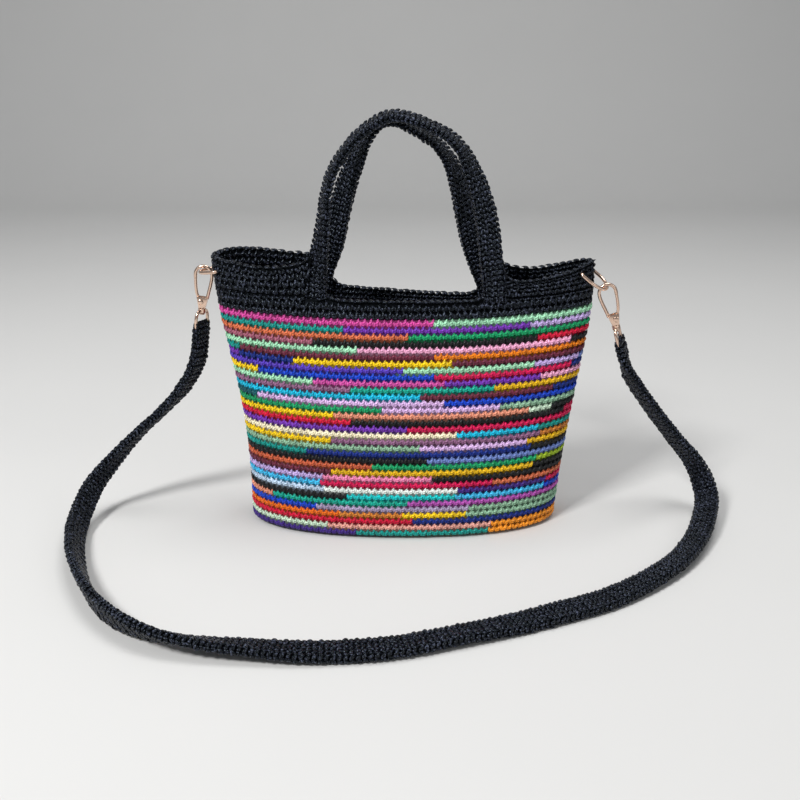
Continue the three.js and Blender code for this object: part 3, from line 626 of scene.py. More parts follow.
def stitch_tree():
    """Geometry Nodes that work a bed of stitches over a core."""
    tree = bpy.data.node_groups.new(STITCH_TREE, "GeometryNodeTree")
    kinds = {"Core": "Geometry", "Bed": "Object", "Stitch": "Object", "Yarn": "Material",
             "Turn wobble": "Float", "Size wobble": "Float", "Seed": "Int"}
    for name, kind in kinds.items():
        tree.interface.new_socket(name, in_out="INPUT", socket_type="NodeSocket" + kind)
    tree.interface.new_socket("Fabric", in_out="OUTPUT", socket_type="NodeSocketGeometry")
    nodes = Nodes(tree)
    given = nodes.add("NodeGroupInput").outputs

    def shape_of(name):
        return nodes.add("GeometryNodeObjectInfo", {"Object": given[name]}).outputs["Geometry"]

    def read(name):
        reader = nodes.add("GeometryNodeInputNamedAttribute", {"Name": name}, data_type="FLOAT_VECTOR")
        return reader.outputs["Attribute"]

    def chance(kind, low, high, step):
        seed = nodes.calculate("ADD", given["Seed"], step)
        node = nodes.add("FunctionNodeRandomValue", {"Seed": seed}, data_type=kind)
        for socket, value in zip([s for s in node.inputs if s.enabled], (low, high)):
            nodes.feed(socket, value)
        return next(s for s in node.outputs if s.enabled)

    def rotation(vector):
        return nodes.add("FunctionNodeEulerToRotation", {0: vector}).outputs[0]

    wobble, spread = given["Turn wobble"], given["Size wobble"]
    uneven = rotation(chance("FLOAT_VECTOR", nodes.calculate("MULTIPLY", wobble, -1), wobble, 0))
    turns = {0: rotation(read("turn")), 1: uneven}
    turned = nodes.add("FunctionNodeRotateRotation", turns, rotation_space="LOCAL")
    small, large = nodes.calculate("SUBTRACT", 1, spread), nodes.calculate("ADD", 1, spread)
    worked = nodes.add("GeometryNodeInstanceOnPoints", {
        "Points": shape_of("Bed"),
        "Instance": shape_of("Stitch"),
        "Rotation": turned.outputs[0],
        "Scale": nodes.scale(read("cell"), chance("FLOAT", small, large, 1)),
    })
    # Each stitch gets a random tone; the core gets none, so the yarn material paints shade on it as in the
    # gaps between stitches
    tone = {"Geometry": worked.outputs["Instances"], "Name": "tone",
            "Value": chance("FLOAT", STITCH_TONE, 1.0, 2)}
    toned = nodes.add("GeometryNodeStoreNamedAttribute", tone, data_type="FLOAT", domain="INSTANCE")
    both = nodes.add("GeometryNodeJoinGeometry", {0: given["Core"]})
    nodes.feed(both.inputs[0], toned.outputs["Geometry"])
    real = nodes.add("GeometryNodeRealizeInstances", {0: both.outputs[0]})
    dyed = nodes.add("GeometryNodeSetMaterial", {"Geometry": real.outputs[0], "Material": given["Yarn"]})
    nodes.add("NodeGroupOutput", {0: dyed.outputs[0]})
    return tree


def work_stitches(name, core, bed, stitch, material, step):
    """The finished fabric: a core mesh with its bed worked in stitches, as one plain mesh."""
    sizes = bpy.context.scene.bag_sizes
    piece = link(bpy.data.objects.new(name, core))
    bed_object = bed.make(name + "_bed")
    tree = bpy.data.node_groups.get(STITCH_TREE) or stitch_tree()
    modifier = piece.modifiers.new("Stitches", "NODES")
    modifier.node_group = tree
    values = {"Bed": bed_object, "Stitch": stitch, "Yarn": material, "Turn wobble": sizes.turn_wobble,
              "Size wobble": sizes.size_wobble, "Seed": sizes.seed + step}
    for item in tree.interface.items_tree:
        if item.in_out == "INPUT" and item.name in values:
            modifier[item.identifier] = values[item.name]
    piece.update_tag()
    bpy.context.view_layer.update()
    graph = bpy.context.evaluated_depsgraph_get()
    mesh = bpy.data.meshes.new_from_object(piece.evaluated_get(graph))
    piece.modifiers.clear()
    piece.data = mesh
    mesh.name = name
    for thing in (bed_object, stitch):
        bpy.data.objects.remove(thing)
    return piece


def v_stitch(plump=1.0):
    return stitch_mesh((LEFT_STRAND, RIGHT_STRAND), plump)


def close_stitch():
    return stitch_mesh((LEFT_STRAND, SHORT_STRAND), BLACK_PLUMP)


def bar_stitch():
    return stitch_mesh((BAR_STRAND,))


def core_mesh(name, verts, faces, yarn):
    """A closed core in its yarns' shades, to be worked over with stitches."""
    mesh = bpy.data.meshes.new(name)
    mesh.from_pydata([tuple(v) for v in verts], [], faces)
    put_attribute(mesh, "yarn", "FLOAT_COLOR", yarn)
    face_out(mesh)
    mesh.shade_smooth()
    return mesh


def ring_faces(rings, sides, closed=False):
    """Faces between rings of points that follow one another."""
    faces = []
    for r in range(rings if closed else rings - 1):
        low, high = r * sides, (r + 1) % rings * sides
        for k in range(sides):
            j = (k + 1) % sides
            faces.append((low + k, low + j, high + j, high + k))
    return faces


def capped_faces(rings, sides):
    """Faces between rings of points, closed flat at both ends."""
    last = (rings - 1) * sides
    return [*ring_faces(rings, sides), tuple(range(sides)), tuple(range(last, last + sides))]


# Yarn runs of the striped body

def yarn_colour(name):
    return tuple(getattr(bpy.context.scene.bag_colours, name))


def stripe_round(text, count, chance):
    """Yarn of each stitch of a round, numbered from the front centre to the right."""
    words = text.split()
    names = words[0::2]
    ends = [int(w) for w in words[1::2]]
    shades = [n for n in YARNS if n != "black"]
    run = {}
    for stitch in range(-FRONT_STITCHES, FRONT_STITCHES + 1):
        run[stitch % count] = names[sum(stitch >= e for e in ends)]
    stitch, name = FRONT_STITCHES + 1, names[-1]
    left = chance.randint(0, RUN_LENGTHS[0] // 2)
    while stitch < count - FRONT_STITCHES:
        if left == 0:
            name, left = chance.choice(shades), chance.randint(*RUN_LENGTHS)
        run[stitch] = name
        stitch, left = stitch + 1, left - 1
    return [run[i] for i in range(count)]


def body_plan():
    """Height, stitch count and yarns of each round, from the base up."""
    rounds = bpy.context.scene.bag_sizes.body_rounds
    pitch = (BODY_TOP - FIRST_ROUND) / rounds
    chance = random.Random(STRIPE_SEED)
    plan = []
    for r in range(rounds):
        z = FIRST_ROUND + (r + 0.5) * pitch
        count = stitch_count(z, 0)
        text = STRIPES[(rounds - 1 - r) % len(STRIPES)]
        plan.append((z, count, [yarn_colour(n) for n in stripe_round(text, count, chance)]))
    return plan, pitch


def wall_bed(bed, z, pitch, count, inset, depth, yarn, inward=False, shift=0.0, keep=None):
    """One round of stitches on the wall at height z, on its outer or inner face."""
    angle = round_angles(z, inset, count, shift)
    middle = wall_points(z, angle, inset)
    up = unit(wall_reach(z, angle, inset, rise=NUDGE))
    along = unit(wall_reach(z, angle, inset, turn=NUDGE))
    out = np.cross(along, up) * (-1 if inward else 1)
    chosen = np.ones(count, bool) if keep is None else keep(middle)
    yarn = np.broadcast_to(np.asarray(yarn, float), (count, 3))
    tall = np.linalg.norm(wall_reach(z, angle, inset, rise=pitch / 2), axis=1)
    wide = round_line(z, inset)[-1] / count
    cell = np.stack([np.full(count, wide), tall, np.full(count, depth)], axis=1)
    if z > BAND_LOW:
        middle = edge_pull(middle, z)
    bed.add(middle[chosen], up[chosen], out[chosen], cell[chosen], yarn[chosen])


# Materials

def material_with(name):
    """A new node material, its node tree and its shader."""
    material = bpy.data.materials.new(name)
    material.use_nodes = True
    return material, Nodes(material.node_tree), material.node_tree.nodes["Principled BSDF"]


def yarn_material(name):
    """Plied cotton: its shade from the yarn attribute, with painted shade in the gaps and ply grooves and
    painted glints as bright flecks, twist along each strand, fuzz and uneven dye.
    """
    look = YARN_LOOKS[name]
    material, nodes, shader = material_with(name)
    place = nodes.add("ShaderNodeTexCoord").outputs["Object"]
    tone = nodes.add("ShaderNodeAttribute", attribute_name="tone").outputs["Fac"]
    dye = nodes.add("ShaderNodeAttribute", attribute_name="yarn").outputs["Color"]
    strand = nodes.add("ShaderNodeUVMap", uv_map="strand").outputs["UV"]
    run, girth = nodes.add("ShaderNodeSeparateXYZ", {0: strand}).outputs[:2]
    turns = nodes.calculate("MULTIPLY_ADD", run, PLY_TURNS, nodes.calculate("MULTIPLY", girth, PLIES))
    groove = nodes.calculate("PINGPONG", turns, 0.5)
    fuzz = nodes.noise(place, FUZZ_SCALE, FUZZ_DETAIL)
    # Multipliers of the yarn's shade: painted shade in the gaps, painted shade and highlight on the plies,
    # uneven dye patches and painted glints
    lights = (
        # painted shade in the gaps between stitches, where the core shows, under a random tone for each
        # stitch
        nodes.spread(tone, look["gap"], TOP_LIGHT),
        # painted shade in the ply grooves and painted highlight on the ply ridges
        nodes.spread(groove, *PLY_SHADE_AND_HIGHLIGHT, end=0.5),
        nodes.spread(nodes.noise(place, PATCH_SCALE), *PATCH_LIGHT),
        # painted glints: bright flecks painted into the shade
        nodes.spread(nodes.noise(place, PAINTED_GLINT_SCALE, PAINTED_GLINT_DETAIL), 1, look["painted_glint"], *PAINTED_GLINT_BAND),
    )
    colour = nodes.add("ShaderNodeHueSaturation", {"Saturation": DYE_DEPTH, "Color": dye}).outputs[0]
    for light in lights:
        colour = nodes.scale(colour, light)
    rough = nodes.spread(fuzz, look["gloss"], look["gloss"] + FUZZ_ROUGH)
    twist = nodes.bump(groove, PLY_BUMP, PLY_HEIGHT)
    nodes.fill(shader, {
        "Base Color": colour,
        "Roughness": nodes.spread(tone, 1, rough, end=STITCH_TONE),
        "Normal": nodes.bump(fuzz, look["fuzz"], FUZZ_HEIGHT, twist),
        "Sheen Weight": look["sheen"],
        "Sheen Roughness": SHEEN_ROUGH,
        "Specular IOR Level": look["shine"],
        "Specular Tint": look["glint"],
    })
    return material


def metal_material(name):
    """Rose-gold plate with fine rubbed scratches."""
    material, nodes, shader = material_with(name)
    place = nodes.add("ShaderNodeTexCoord").outputs["Object"]
    drawn = nodes.add("ShaderNodeMapping", {"Vector": place, "Scale": RUB_WAY}).outputs[0]
    rubbed = nodes.noise(drawn, RUB_SCALE, RUB_DETAIL)
    cloud = nodes.noise(place, CLOUD_SCALE)
    nodes.fill(shader, {
        "Base Color": nodes.tint(cloud, bpy.context.scene.bag_colours.metal, CLOUD_DARK),
        "Roughness": nodes.spread(rubbed, *RUB_ROUGH),
        "Normal": nodes.bump(rubbed, RUB_BUMP, RUB_HEIGHT),
        "Metallic": 1,
    })
    return material


def shared_material(name, maker):
    return bpy.data.materials.get(name) or maker(name)


def settle(piece, body, slot, *nodes):
    """Ties a finished piece to its body and hides the plain solids it stands for; its finish is not used."""
    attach(piece, body)
    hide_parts(*nodes)


# Body and band

def wall_core(name, outer, inner, keep, yarn):
    """A closed wall from two grids of points, rows by columns, with the cells that are kept."""
    rows, columns = len(outer) - 1, len(outer[0])
    verts = [p for grid in (outer, inner) for row in grid for p in row]
    half = len(verts) // 2
    faces = []

    def kept(r, i):
        return 0 <= r < rows and keep(r, i % columns)

    for r in range(rows):
        for i in range(columns):
            if not kept(r, i):
                continue
            j = (i + 1) % columns
            a, b, d, c = (row * columns + k for row in (r, r + 1) for k in (i, j))
            faces.append((a, b, c, d))
            faces.append((a + half, d + half, c + half, b + half))
            edges = (((r - 1, i), b, a), ((r + 1, i), d, c), ((r, i - 1), a, d), ((r, i + 1), c, b))
            for other, p, q in edges:
                if not kept(*other):
                    faces.append((p, q, q + half, p + half))
    return core_mesh(name, verts, faces, [(*yarn, 1)] * len(verts))


def body_core(plan, pitch, depth, wall):
    """Wall and base of the body under its stitches, as one closed shell."""

    def ring(z, inset, split_at):
        return wall_points(z, round_angles(split_at, inset, BODY_COLUMNS), inset)

    heights = [FIRST_ROUND + r * pitch for r in range(len(plan) + 1)]
    yarns = [yarn for _, _, yarn in plan]
    yarns.append(yarns[-1])
    shades = [[yarn[int(i * len(yarn) / BODY_COLUMNS)] for i in range(BODY_COLUMNS)] for yarn in yarns]
    inside = wall - depth * INNER_CORE_SHARE
    stack = [ring(depth * FLOOR_CORE_SHARE, inset, 0) for inset in FLOOR_RINGS]
    stack += [ring(z, depth * BODY_CORE_SHARE, z) for z in heights]
    stack += [ring(max(z, wall), inside, max(z, wall)) for z in heights[::-1]]
    stack += [ring(wall, inset, 0) for inset in FLOOR_RINGS[::-1]]
    floor = [shades[0]] * len(FLOOR_RINGS)
    yarn = [(*shade, 1) for row in floor + shades + shades[::-1] + floor for shade in row]
    faces = capped_faces(len(stack), BODY_COLUMNS)
    return core_mesh("crochet_body", np.concatenate(stack), faces, yarn)


def base_bed(bed, sizes, chance):
    """Oval rounds of stitches on the underside of the base."""
    shades = [yarn_colour(n) for n in YARNS]
    pitch, depth = sizes.stitch_width, sizes.stitch_depth
    for j in range(int((BASE_HALF[1] - BASE_EDGE) / pitch)):
        inset = BASE_EDGE + (j + 0.5) * pitch
        count = max(LEAST_STITCHES, stitch_count(0, inset))
        angle = round_angles(0, inset, count, BASE_SHIFT * j)
        middle = wall_points(0, angle, inset) + np.array([0, 0, depth * BASE_BED_SHARE])
        up = unit(wall_points(0, angle, inset - MM) - wall_points(0, angle, inset))
        out = np.tile([0.0, 0.0, -1.0], (count, 1))
        yarn = []
        while len(yarn) < count:
            yarn += [chance.choice(shades)] * chance.randint(*RUN_LENGTHS)
        cell = (round_line(0, inset)[-1] / count, pitch, depth * BASE_STITCH)
        bed.add(middle, up, out, cell, yarn[:count])


class BAG_OT_body(Operator):
    """Works the striped body: core, outer rounds, inner rounds and base"""

    bl_idname = "bag.body"
    bl_label = "Striped body"

    def execute(self, context):
        sizes = context.scene.bag_sizes
        plan, pitch = body_plan()
        depth, wall = sizes.stitch_depth, sizes.wall
        striped = shared_material("striped yarn", yarn_material)
        inside = Bed()
        for z, count, yarn in plan:
            low, inset = max(z, wall + pitch / 2), wall - depth * INNER_BED_SHARE
            wall_bed(inside, low, pitch, count, inset, depth * INNER_STITCH, yarn, inward=True)
        base_bed(inside, sizes, random.Random(STRIPE_SEED + 1))
        core = body_core(plan, pitch, depth, wall)
        shell = work_stitches("crochet_body_shell", core, inside, bar_stitch(), striped, 0)
        settle(shell, "bag", "striped_yarn", "crochet_body")
        half = len(plan) // 2
        halves = {"crochet_rounds_low": range(half), "crochet_rounds_high": range(half, len(plan))}
        for name, part in halves.items():
            bed = Bed()
            for r in part:
                z, count, yarn = plan[r]
                wall_bed(bed, z, pitch, count, depth, depth, yarn, shift=ROUND_SHIFT * r % 1)
            empty = bpy.data.meshes.new(name)
            piece = work_stitches(name, empty, bed, v_stitch(), striped, part[0] + 1)
            settle(piece, "bag", "striped_yarn", "crochet_body")
        return {"FINISHED"}


def beyond_notch(points):
    return np.abs(points[:, 0]) > NOTCH_HALF


def within_notch(points):
    return ~beyond_notch(points)


def between_legs(points):
    return np.abs(points[:, 0]) < LEG_CENTRE


def band_columns(step):
    """Column angles of the band with edges at the sides of the handle notch."""
    line = wall_points(NOTCH_FLOOR, FINE_ANGLES, 0)
    along = run_length(line)
    crossed = np.flatnonzero(np.diff(beyond_notch(line))) + 1
    edges = [0.0, *along[crossed], along[-1]]
    marks = []
    for low, high in zip(edges, edges[1:]):
        count = max(2, round((high - low) / step))
        marks += list(np.linspace(low, high, count, endpoint=False))
    return np.interp(marks, along, FINE_ANGLES)


def band_core(sizes, heights, low_rounds, yarn):
    """The band's wall under its stitches, open above the handle notches."""
    depth = sizes.stitch_depth
    angles = band_columns(sizes.stitch_width)
    skin = depth * (CORE_SHARE - END_CORE_FILL * np.cos(angles) ** END_CORE_POWER)
    insets = (skin, sizes.wall - depth * BAND_CORE_SHARE)
    outer, inner = ([edge_pull(wall_points(z, angles, i), z) for z in heights] for i in insets)
    between = (angles + np.append(angles[1:], angles[0] + TAU)) / 2
    full_height = beyond_notch(wall_points(NOTCH_FLOOR, between, 0))
    return wall_core("top_band", outer, inner, lambda r, i: r < low_rounds or full_height[i], yarn)


def rim_bed(bed, angle, z, inset, width, depth, yarn, keep):
    """A chain of stitches lying along the rim."""
    middle = wall_points(z, angle, inset)
    along = unit(wall_reach(z, angle, inset, turn=NUDGE))
    out = np.tile([0.0, 0.0, 1.0], (len(angle), 1))
    chosen = keep(middle)
    length = np.linalg.norm(np.roll(middle, -1, axis=0) - middle, axis=1).mean()
    middle = edge_pull(middle, z)
    bed.add(middle[chosen], along[chosen], out[chosen], (width, length, depth), yarn)


class BAG_OT_band(Operator):
    """Works the black top band with its handle notches and chained rim"""

    bl_idname = "bag.band"
    bl_label = "Top band"

    def execute(self, context):
        sizes = context.scene.bag_sizes
        depth, wall, black = sizes.stitch_depth, sizes.wall, yarn_colour("black")
        thin = depth * BAND_STITCH
        rounds = sizes.band_rounds
        pitch = (BAND_TOP - BAND_LOW) / rounds
        low_rounds = round((NOTCH_FLOOR - BAND_LOW) / pitch)
        bed = Bed()
        for r in range(rounds):
            z = BAND_LOW + (r + 0.5) * pitch
            count = stitch_count(z, 0)
            shift = ROUND_SHIFT * r + BAND_SHIFT
            for keep, top in ((beyond_notch, rounds), (within_notch, low_rounds)):
                if r >= top:
                    continue
                size = pitch * (EDGE_SQUASH if r == top - 1 else 1)
                mid = z - (pitch - size) / 2
                wall_bed(bed, mid, size, count, depth, depth, black, False, shift, keep)
                wall_bed(bed, mid, size, count, wall - thin, thin, black, True, shift, keep)
        count = stitch_count(BAND_TOP, wall / 2)
        heights = [BAND_LOW + r * pitch for r in range(rounds + 1)]
        for z, keep in ((BAND_TOP, beyond_notch), (heights[low_rounds], between_legs)):
            angle = round_angles(z, wall / 2, count)
            rim_bed(bed, angle, z - RIM_DROP, wall / 2, wall, depth * RIM_STITCH, black, keep)
        core = band_core(sizes, heights, low_rounds, black)
        yarn = shared_material("black yarn", yarn_material)
        piece = work_stitches("top_band_crochet", core, bed, v_stitch(BLACK_PLUMP), yarn, BAND_STEP)
        settle(piece, "bag", "black_yarn", "top_band")
        return {"FINISHED"}


# Handles and strap

def stadium(share, half_width, half_thick):
    """Place and outward way on a flat section with round edges, at a share of its outline."""
    flat = 2 * (half_width - half_thick)
    bend = math.pi * half_thick
    q = (share % 1.0) * 2 * (flat + bend)
    side = 1 if q < flat + bend else -1
    q -= 0 if side == 1 else flat + bend
    t = max(0, q - flat) / half_thick
    out = np.array([-math.sin(t), math.cos(t)])
    spot = np.array([flat / 2 - min(q, flat), 0]) + half_thick * out
    return spot * side, out * side


class Strip:
    """A flat crochet strip along a line: stations with centre, width way, face way and half sizes."""

    def __init__(self, centre, across, half_width, half_thick):
        self.centre = centre
        self.tangent = unit(np.gradient(centre, axis=0))
        self.across = unit(across - self.tangent * np.sum(across * self.tangent, axis=1, keepdims=True))
        self.face = unit(np.cross(self.tangent, self.across))
        self.half_width = np.broadcast_to(half_width, len(centre))
        self.half_thick = np.broadcast_to(half_thick, len(centre))

    def spot(self, i, share, inset):
        """Place from the centre and outward way on station i, moved in from its skin."""
        thick = max(self.half_thick[i] - inset, LEAST_THICK)
        width = max(self.half_width[i] - inset, thick * LEAST_FLAT)
        return [self.across[i] * v[0] + self.face[i] * v[1] for v in stadium(share, width, thick)]

    def core(self, name, columns, inset, yarn):
        """The strip under its stitches, with two sides for each column."""
        count, sides = len(self.centre), columns * 2
        verts = []
        for i in range(count):
            verts += [self.centre[i] + self.spot(i, k / sides, inset)[0] for k in range(sides)]
        return core_mesh(name, verts, capped_faces(count, sides), [(*yarn, 1)] * len(verts))

    def bed(self, columns, depth, yarn):
        """Short rows of stitches across the strip, every second one sunk a little, all round its section."""
        bed = Bed()
        count = len(self.centre)
        flat = 2 * (self.half_width - self.half_thick)
        wide = 2 * (flat + math.pi * self.half_thick) / columns
        long = np.full(count, run_length(self.centre)[-1] / count * ROW_LAP)
        tall = depth * np.where(np.arange(count) % 2, SUNK_ROW, 1)
        cells = np.stack([wide, long, tall], axis=1)
        bend = math.pi * (self.half_thick - depth / 2)
        edge = (flat + bend / 2) / (2 * (flat + bend))
        for column in range(columns):
            places = [self.spot(i, edge[i] + column / columns, depth / 2) for i in range(count)]
            spot, out = np.array(places).swapaxes(0, 1)
            bed.add(self.centre + spot - out * (depth / 2), self.tangent, out, cells, yarn)
        return bed


def work_strip(name, strip, columns, depth, step):
    """A handle or the strap: its core worked over with short rows of black yarn."""
    black = yarn_colour("black")
    core = strip.core(name, columns, depth * CORE_SHARE, black)
    bed = strip.bed(columns, depth, black)
    yarn = shared_material("black yarn", yarn_material)
    piece = work_stitches(name + "_crochet", core, bed, close_stitch(), yarn, step)
    settle(piece, "bag", "black_yarn", name)
    return piece


def row_shares(points, step):
    """Shares along a spline: both its ends and a place for each row of stitches."""
    fine = np.linspace(0, 1, LINE_POINTS)
    line = run_length(spline(points, fine))
    count = max(2, round(line[-1] / step))
    rows = np.interp((np.arange(count) + 0.5) / count * line[-1], line, fine)
    return np.concatenate([[0], rows, [1]])


def handle_strip(line, apex, sizes):
    """A carrying handle from foot to foot, turned edge-on at its top."""
    wall_mid = read_table(DEPTH_TABLE, NOTCH_FLOOR) - sizes.wall / 2
    foot = NOTCH_FLOOR + FOOT_GAP
    points = []
    for x, y, z, _ in line:
        slack = (1 - z) ** 2
        back = slump_at(x * LEG_CENTRE) * slack if y > 0 else 0
        lift = foot + z * (apex - foot) - FOOT_DIP * slack - SLUMP_DOWN * back
        points.append((x * LEG_CENTRE + FOOT_LEAN * slack, y * wall_mid * (1 - FOOT_IN * back), lift))
    shares = row_shares(points, sizes.row_height)
    centre = spline(points, shares)
    turn = np.interp(shares * (len(line) - 1), np.arange(len(line)), [p[3] for p in line]) * TAU / 4
    tangent = unit(np.gradient(centre, axis=0))
    outward = unit(np.stack([-tangent[:, 2], np.zeros(len(centre)), tangent[:, 0]], axis=1))
    across = outward * np.cos(turn)[:, None] + np.array([0, 1.0, 0]) * np.sin(turn)[:, None]
    return Strip(centre, across, sizes.handle_width / 2, sizes.handle_thick / 2)


class BAG_OT_handles(Operator):
    """Works the two twisted carrying handles"""

    bl_idname = "bag.handles"
    bl_label = "Carrying handles"

    def execute(self, context):
        sizes = context.scene.bag_sizes
        handles = (("handle_front", FRONT_LINE, FRONT_APEX, FRONT_STEP),
                   ("handle_back", BACK_LINE, BACK_APEX, BACK_STEP))
        for name, line, apex, step in handles:
            strip = handle_strip(line, apex, sizes)
            work_strip(name, strip, sizes.handle_columns, sizes.handle_thick * HANDLE_STITCH, step)
        return {"FINISHED"}


def strap_end(side, along):
    place = hook_place(side)
    centre = place @ Vector((0, 0, -EYE_BAR - along))
    across = place.to_3x3() @ Vector((math.cos(EYE_TURN), math.sin(EYE_TURN), 0))
    across = across if across.y > 0 else -across
    return np.array(centre), np.array(across)


def strap_strip(sizes):
    """The strap's stations, from the left eye along the floor to the right eye."""
    left, right = ([strap_end(side, d) for d in STRAP_ENDS_ALONG] for side in (-1, 1))
    stations = left + [(np.array(p[:3]), np.array(p[3:])) for p in STRAP_FLOOR] + right[::-1]
    points = [p * MM for p, _ in stations]
    shares = row_shares(points, sizes.row_height)
    centre = spline(points, shares)
    across = spline([unit(a) for _, a in stations], shares)
    along = run_length(centre)
    near = np.minimum(along, along[-1] - along)
    k = ease((near - STRAP_TAPER[0]) / (STRAP_TAPER[1] - STRAP_TAPER[0]))
    close = np.clip(np.sqrt(np.maximum(STRAP_TIP, near / STRAP_TIP_RUN)), 0, 1)
    half_width = (STRAP_END_WIDTH + (sizes.strap_width - STRAP_END_WIDTH) * k) / 2
    half_thick = (STRAP_END_THICK + (sizes.strap_thick - STRAP_END_THICK) * k) * close / 2
    strip = Strip(centre, across, half_width, half_thick)
    reach = np.abs(strip.across[:, 2]) * half_width + np.abs(strip.face[:, 2]) * half_thick
    centre[:, 2] = np.maximum(centre[:, 2], reach + FLOOR_CLEAR)
    return Strip(centre, across, half_width, half_thick)


class BAG_OT_strap(Operator):
    """Works the shoulder strap"""

    bl_idname = "bag.strap"
    bl_label = "Shoulder strap"

    def execute(self, context):
        sizes = context.scene.bag_sizes
        strip = strap_strip(sizes)
        depth = sizes.stitch_depth * STRAP_STITCH
        piece = work_strip("strap", strip, sizes.strap_columns, depth, STRAP_STEP)
        return {"FINISHED"}


# Metal fittings, in millimetres in their own frames

def tube(points, radius, sides=WIRE_SIDES, closed=False):
    """A round wire along points, with domed ends when it is open."""
    line = np.asarray(points, float)
    count = len(line)
    if closed:
        tangent = unit(np.roll(line, -1, axis=0) - np.roll(line, 1, axis=0))
    else:
        tangent = unit(np.gradient(line, axis=0))
    normal = np.array([0, 1.0, 0]) if abs(tangent[0][1]) < 0.9 else np.array([1.0, 0, 0])
    verts = []
    for p, t in zip(line, tangent):
        normal = unit(normal - t * np.dot(normal, t))
        side = np.cross(t, normal)
        for k in range(sides):
            a = TAU * k / sides
            verts.append(p + radius * (normal * math.cos(a) + side * math.sin(a)))
    faces = ring_faces(count, sides, closed)
    for end, way in () if closed else ((0, -1), (count - 1, 1)):
        ring, inner, middle = end * sides, len(verts), line[end]
        ahead = tangent[end] * way * radius
        rim = verts[ring:ring + sides]
        verts += [middle + (v - middle) * DOME_WIDTH + ahead * DOME_RISE for v in rim]
        verts.append(middle + ahead * DOME_TOP)
        for k in range(sides):
            j = (k + 1) % sides
            faces.append((ring + k, ring + j, inner + j, inner + k))
            faces.append((inner + k, inner + j, inner + sides))
    return verts, faces


def lathe(profile, sides=TURNED_SIDES, axis="Z", at=(0, 0, 0)):
    """A turned piece from a closed outline of radius and height, or one that starts and ends on its axis."""
    verts, faces, rings = [], [], []
    for radius, height in profile:
        if radius == 0:
            rings.append([len(verts)] * sides)
            verts.append((0, 0, height))
            continue
        rings.append(list(range(len(verts), len(verts) + sides)))
        for k in range(sides):
            t = TAU * k / sides
            verts.append((radius * math.cos(t), radius * math.sin(t), height))
    loop = profile[0][0] > 0
    for i in range(len(rings) if loop else len(rings) - 1):
        low, high = rings[i], rings[(i + 1) % len(rings)]
        for k in range(sides):
            j = (k + 1) % sides
            faces.append(tuple(dict.fromkeys((low[k], low[j], high[j], high[k]))))
    order = (0, 1, 2) if axis == "Z" else (0, 2, 1)
    return [np.array([v[order[i]] + at[i] for i in range(3)]) for v in verts], faces


def sleeve(bore, radius, low, high, soft):
    """Outline of a bored sleeve with softened rims."""
    return [(bore, low), (radius - soft, low), (radius, low + soft), (radius, high - soft),
            (radius - soft, high), (bore, high)]


def plate(outline, thick, at, bevel):
    """A flat plate with softened edges; outline in X and Z, thickness along Y."""
    work = bmesh.new()
    ring = [work.verts.new((x, at - thick / 2, z)) for x, z in outline]
    face = work.faces.new(ring)
    grown = bmesh.ops.extrude_face_region(work, geom=[face])["geom"]
    for v in grown:
        if isinstance(v, bmesh.types.BMVert):
            v.co.y += thick
    bmesh.ops.recalc_face_normals(work, faces=work.faces)
    bmesh.ops.bevel(work, geom=work.edges[:], offset=bevel, segments=2, profile=0.5, affect="EDGES")
    work.verts.index_update()
    verts = [np.array(v.co) for v in work.verts]
    faces = [tuple(v.index for v in f.verts) for f in work.faces]
    work.free()
    return verts, faces


def metal_piece(name, parts, place, body, node):
    """Joins parts made in millimetres, sets them in place and finishes them in rose gold."""
    work = bmesh.new()
    for verts, faces in parts:
        made = [work.verts.new(Vector(v)) for v in verts]
        for face in faces:
            work.faces.new([made[i] for i in face])
    bmesh.ops.recalc_face_normals(work, faces=work.faces)
    for edge in work.edges:
        edge.smooth = len(edge.link_faces) < 2 or edge.calc_face_angle() < SHARP_EDGE
    for face in work.faces:
        face.smooth = True
    mesh = bpy.data.meshes.new(name)
    work.to_mesh(mesh)
    work.free()
    mesh.transform(Matrix.Scale(MM, 4) @ place)
    mesh.materials.append(shared_material("rose gold plate", metal_material))
    piece = link(bpy.data.objects.new(name, mesh))
    settle(piece, body, "rose_gold", node)


def ring_axes(side):
    """Centre, bar way and outward way of a D-ring, and the top of its bow."""
    inset, height, drop = RING_SEAT[side]
    centre = Vector((side * (TOP_HALF[0] / MM - inset), 0, height))
    bar = Vector((-math.sin(RING_TURN), math.cos(RING_TURN), 0))
    level = Vector((side * math.cos(RING_TURN), side * math.sin(RING_TURN), 0))
    out = level * math.cos(drop) - Vector((0, 0, math.sin(drop)))
    return centre, bar, out, centre + out * RING_DEPTH


def hook_place(side):
    """The hook's frame: X outwards, Y through its flat, Z up, zero at the top of its arch."""
    tilt = HOOK_TILT[side]
    up = Vector((-side * math.sin(tilt), 0, math.cos(tilt)))
    outward = Vector((side * math.cos(tilt), 0, math.sin(tilt)))
    through = up.cross(outward)
    top = ring_axes(side)[3] + up * (RING_WIRE + HOOK_WIRE + HOOK_SLACK)
    place = Matrix((outward, through, up)).transposed().to_4x4()
    place.translation = top
    return place


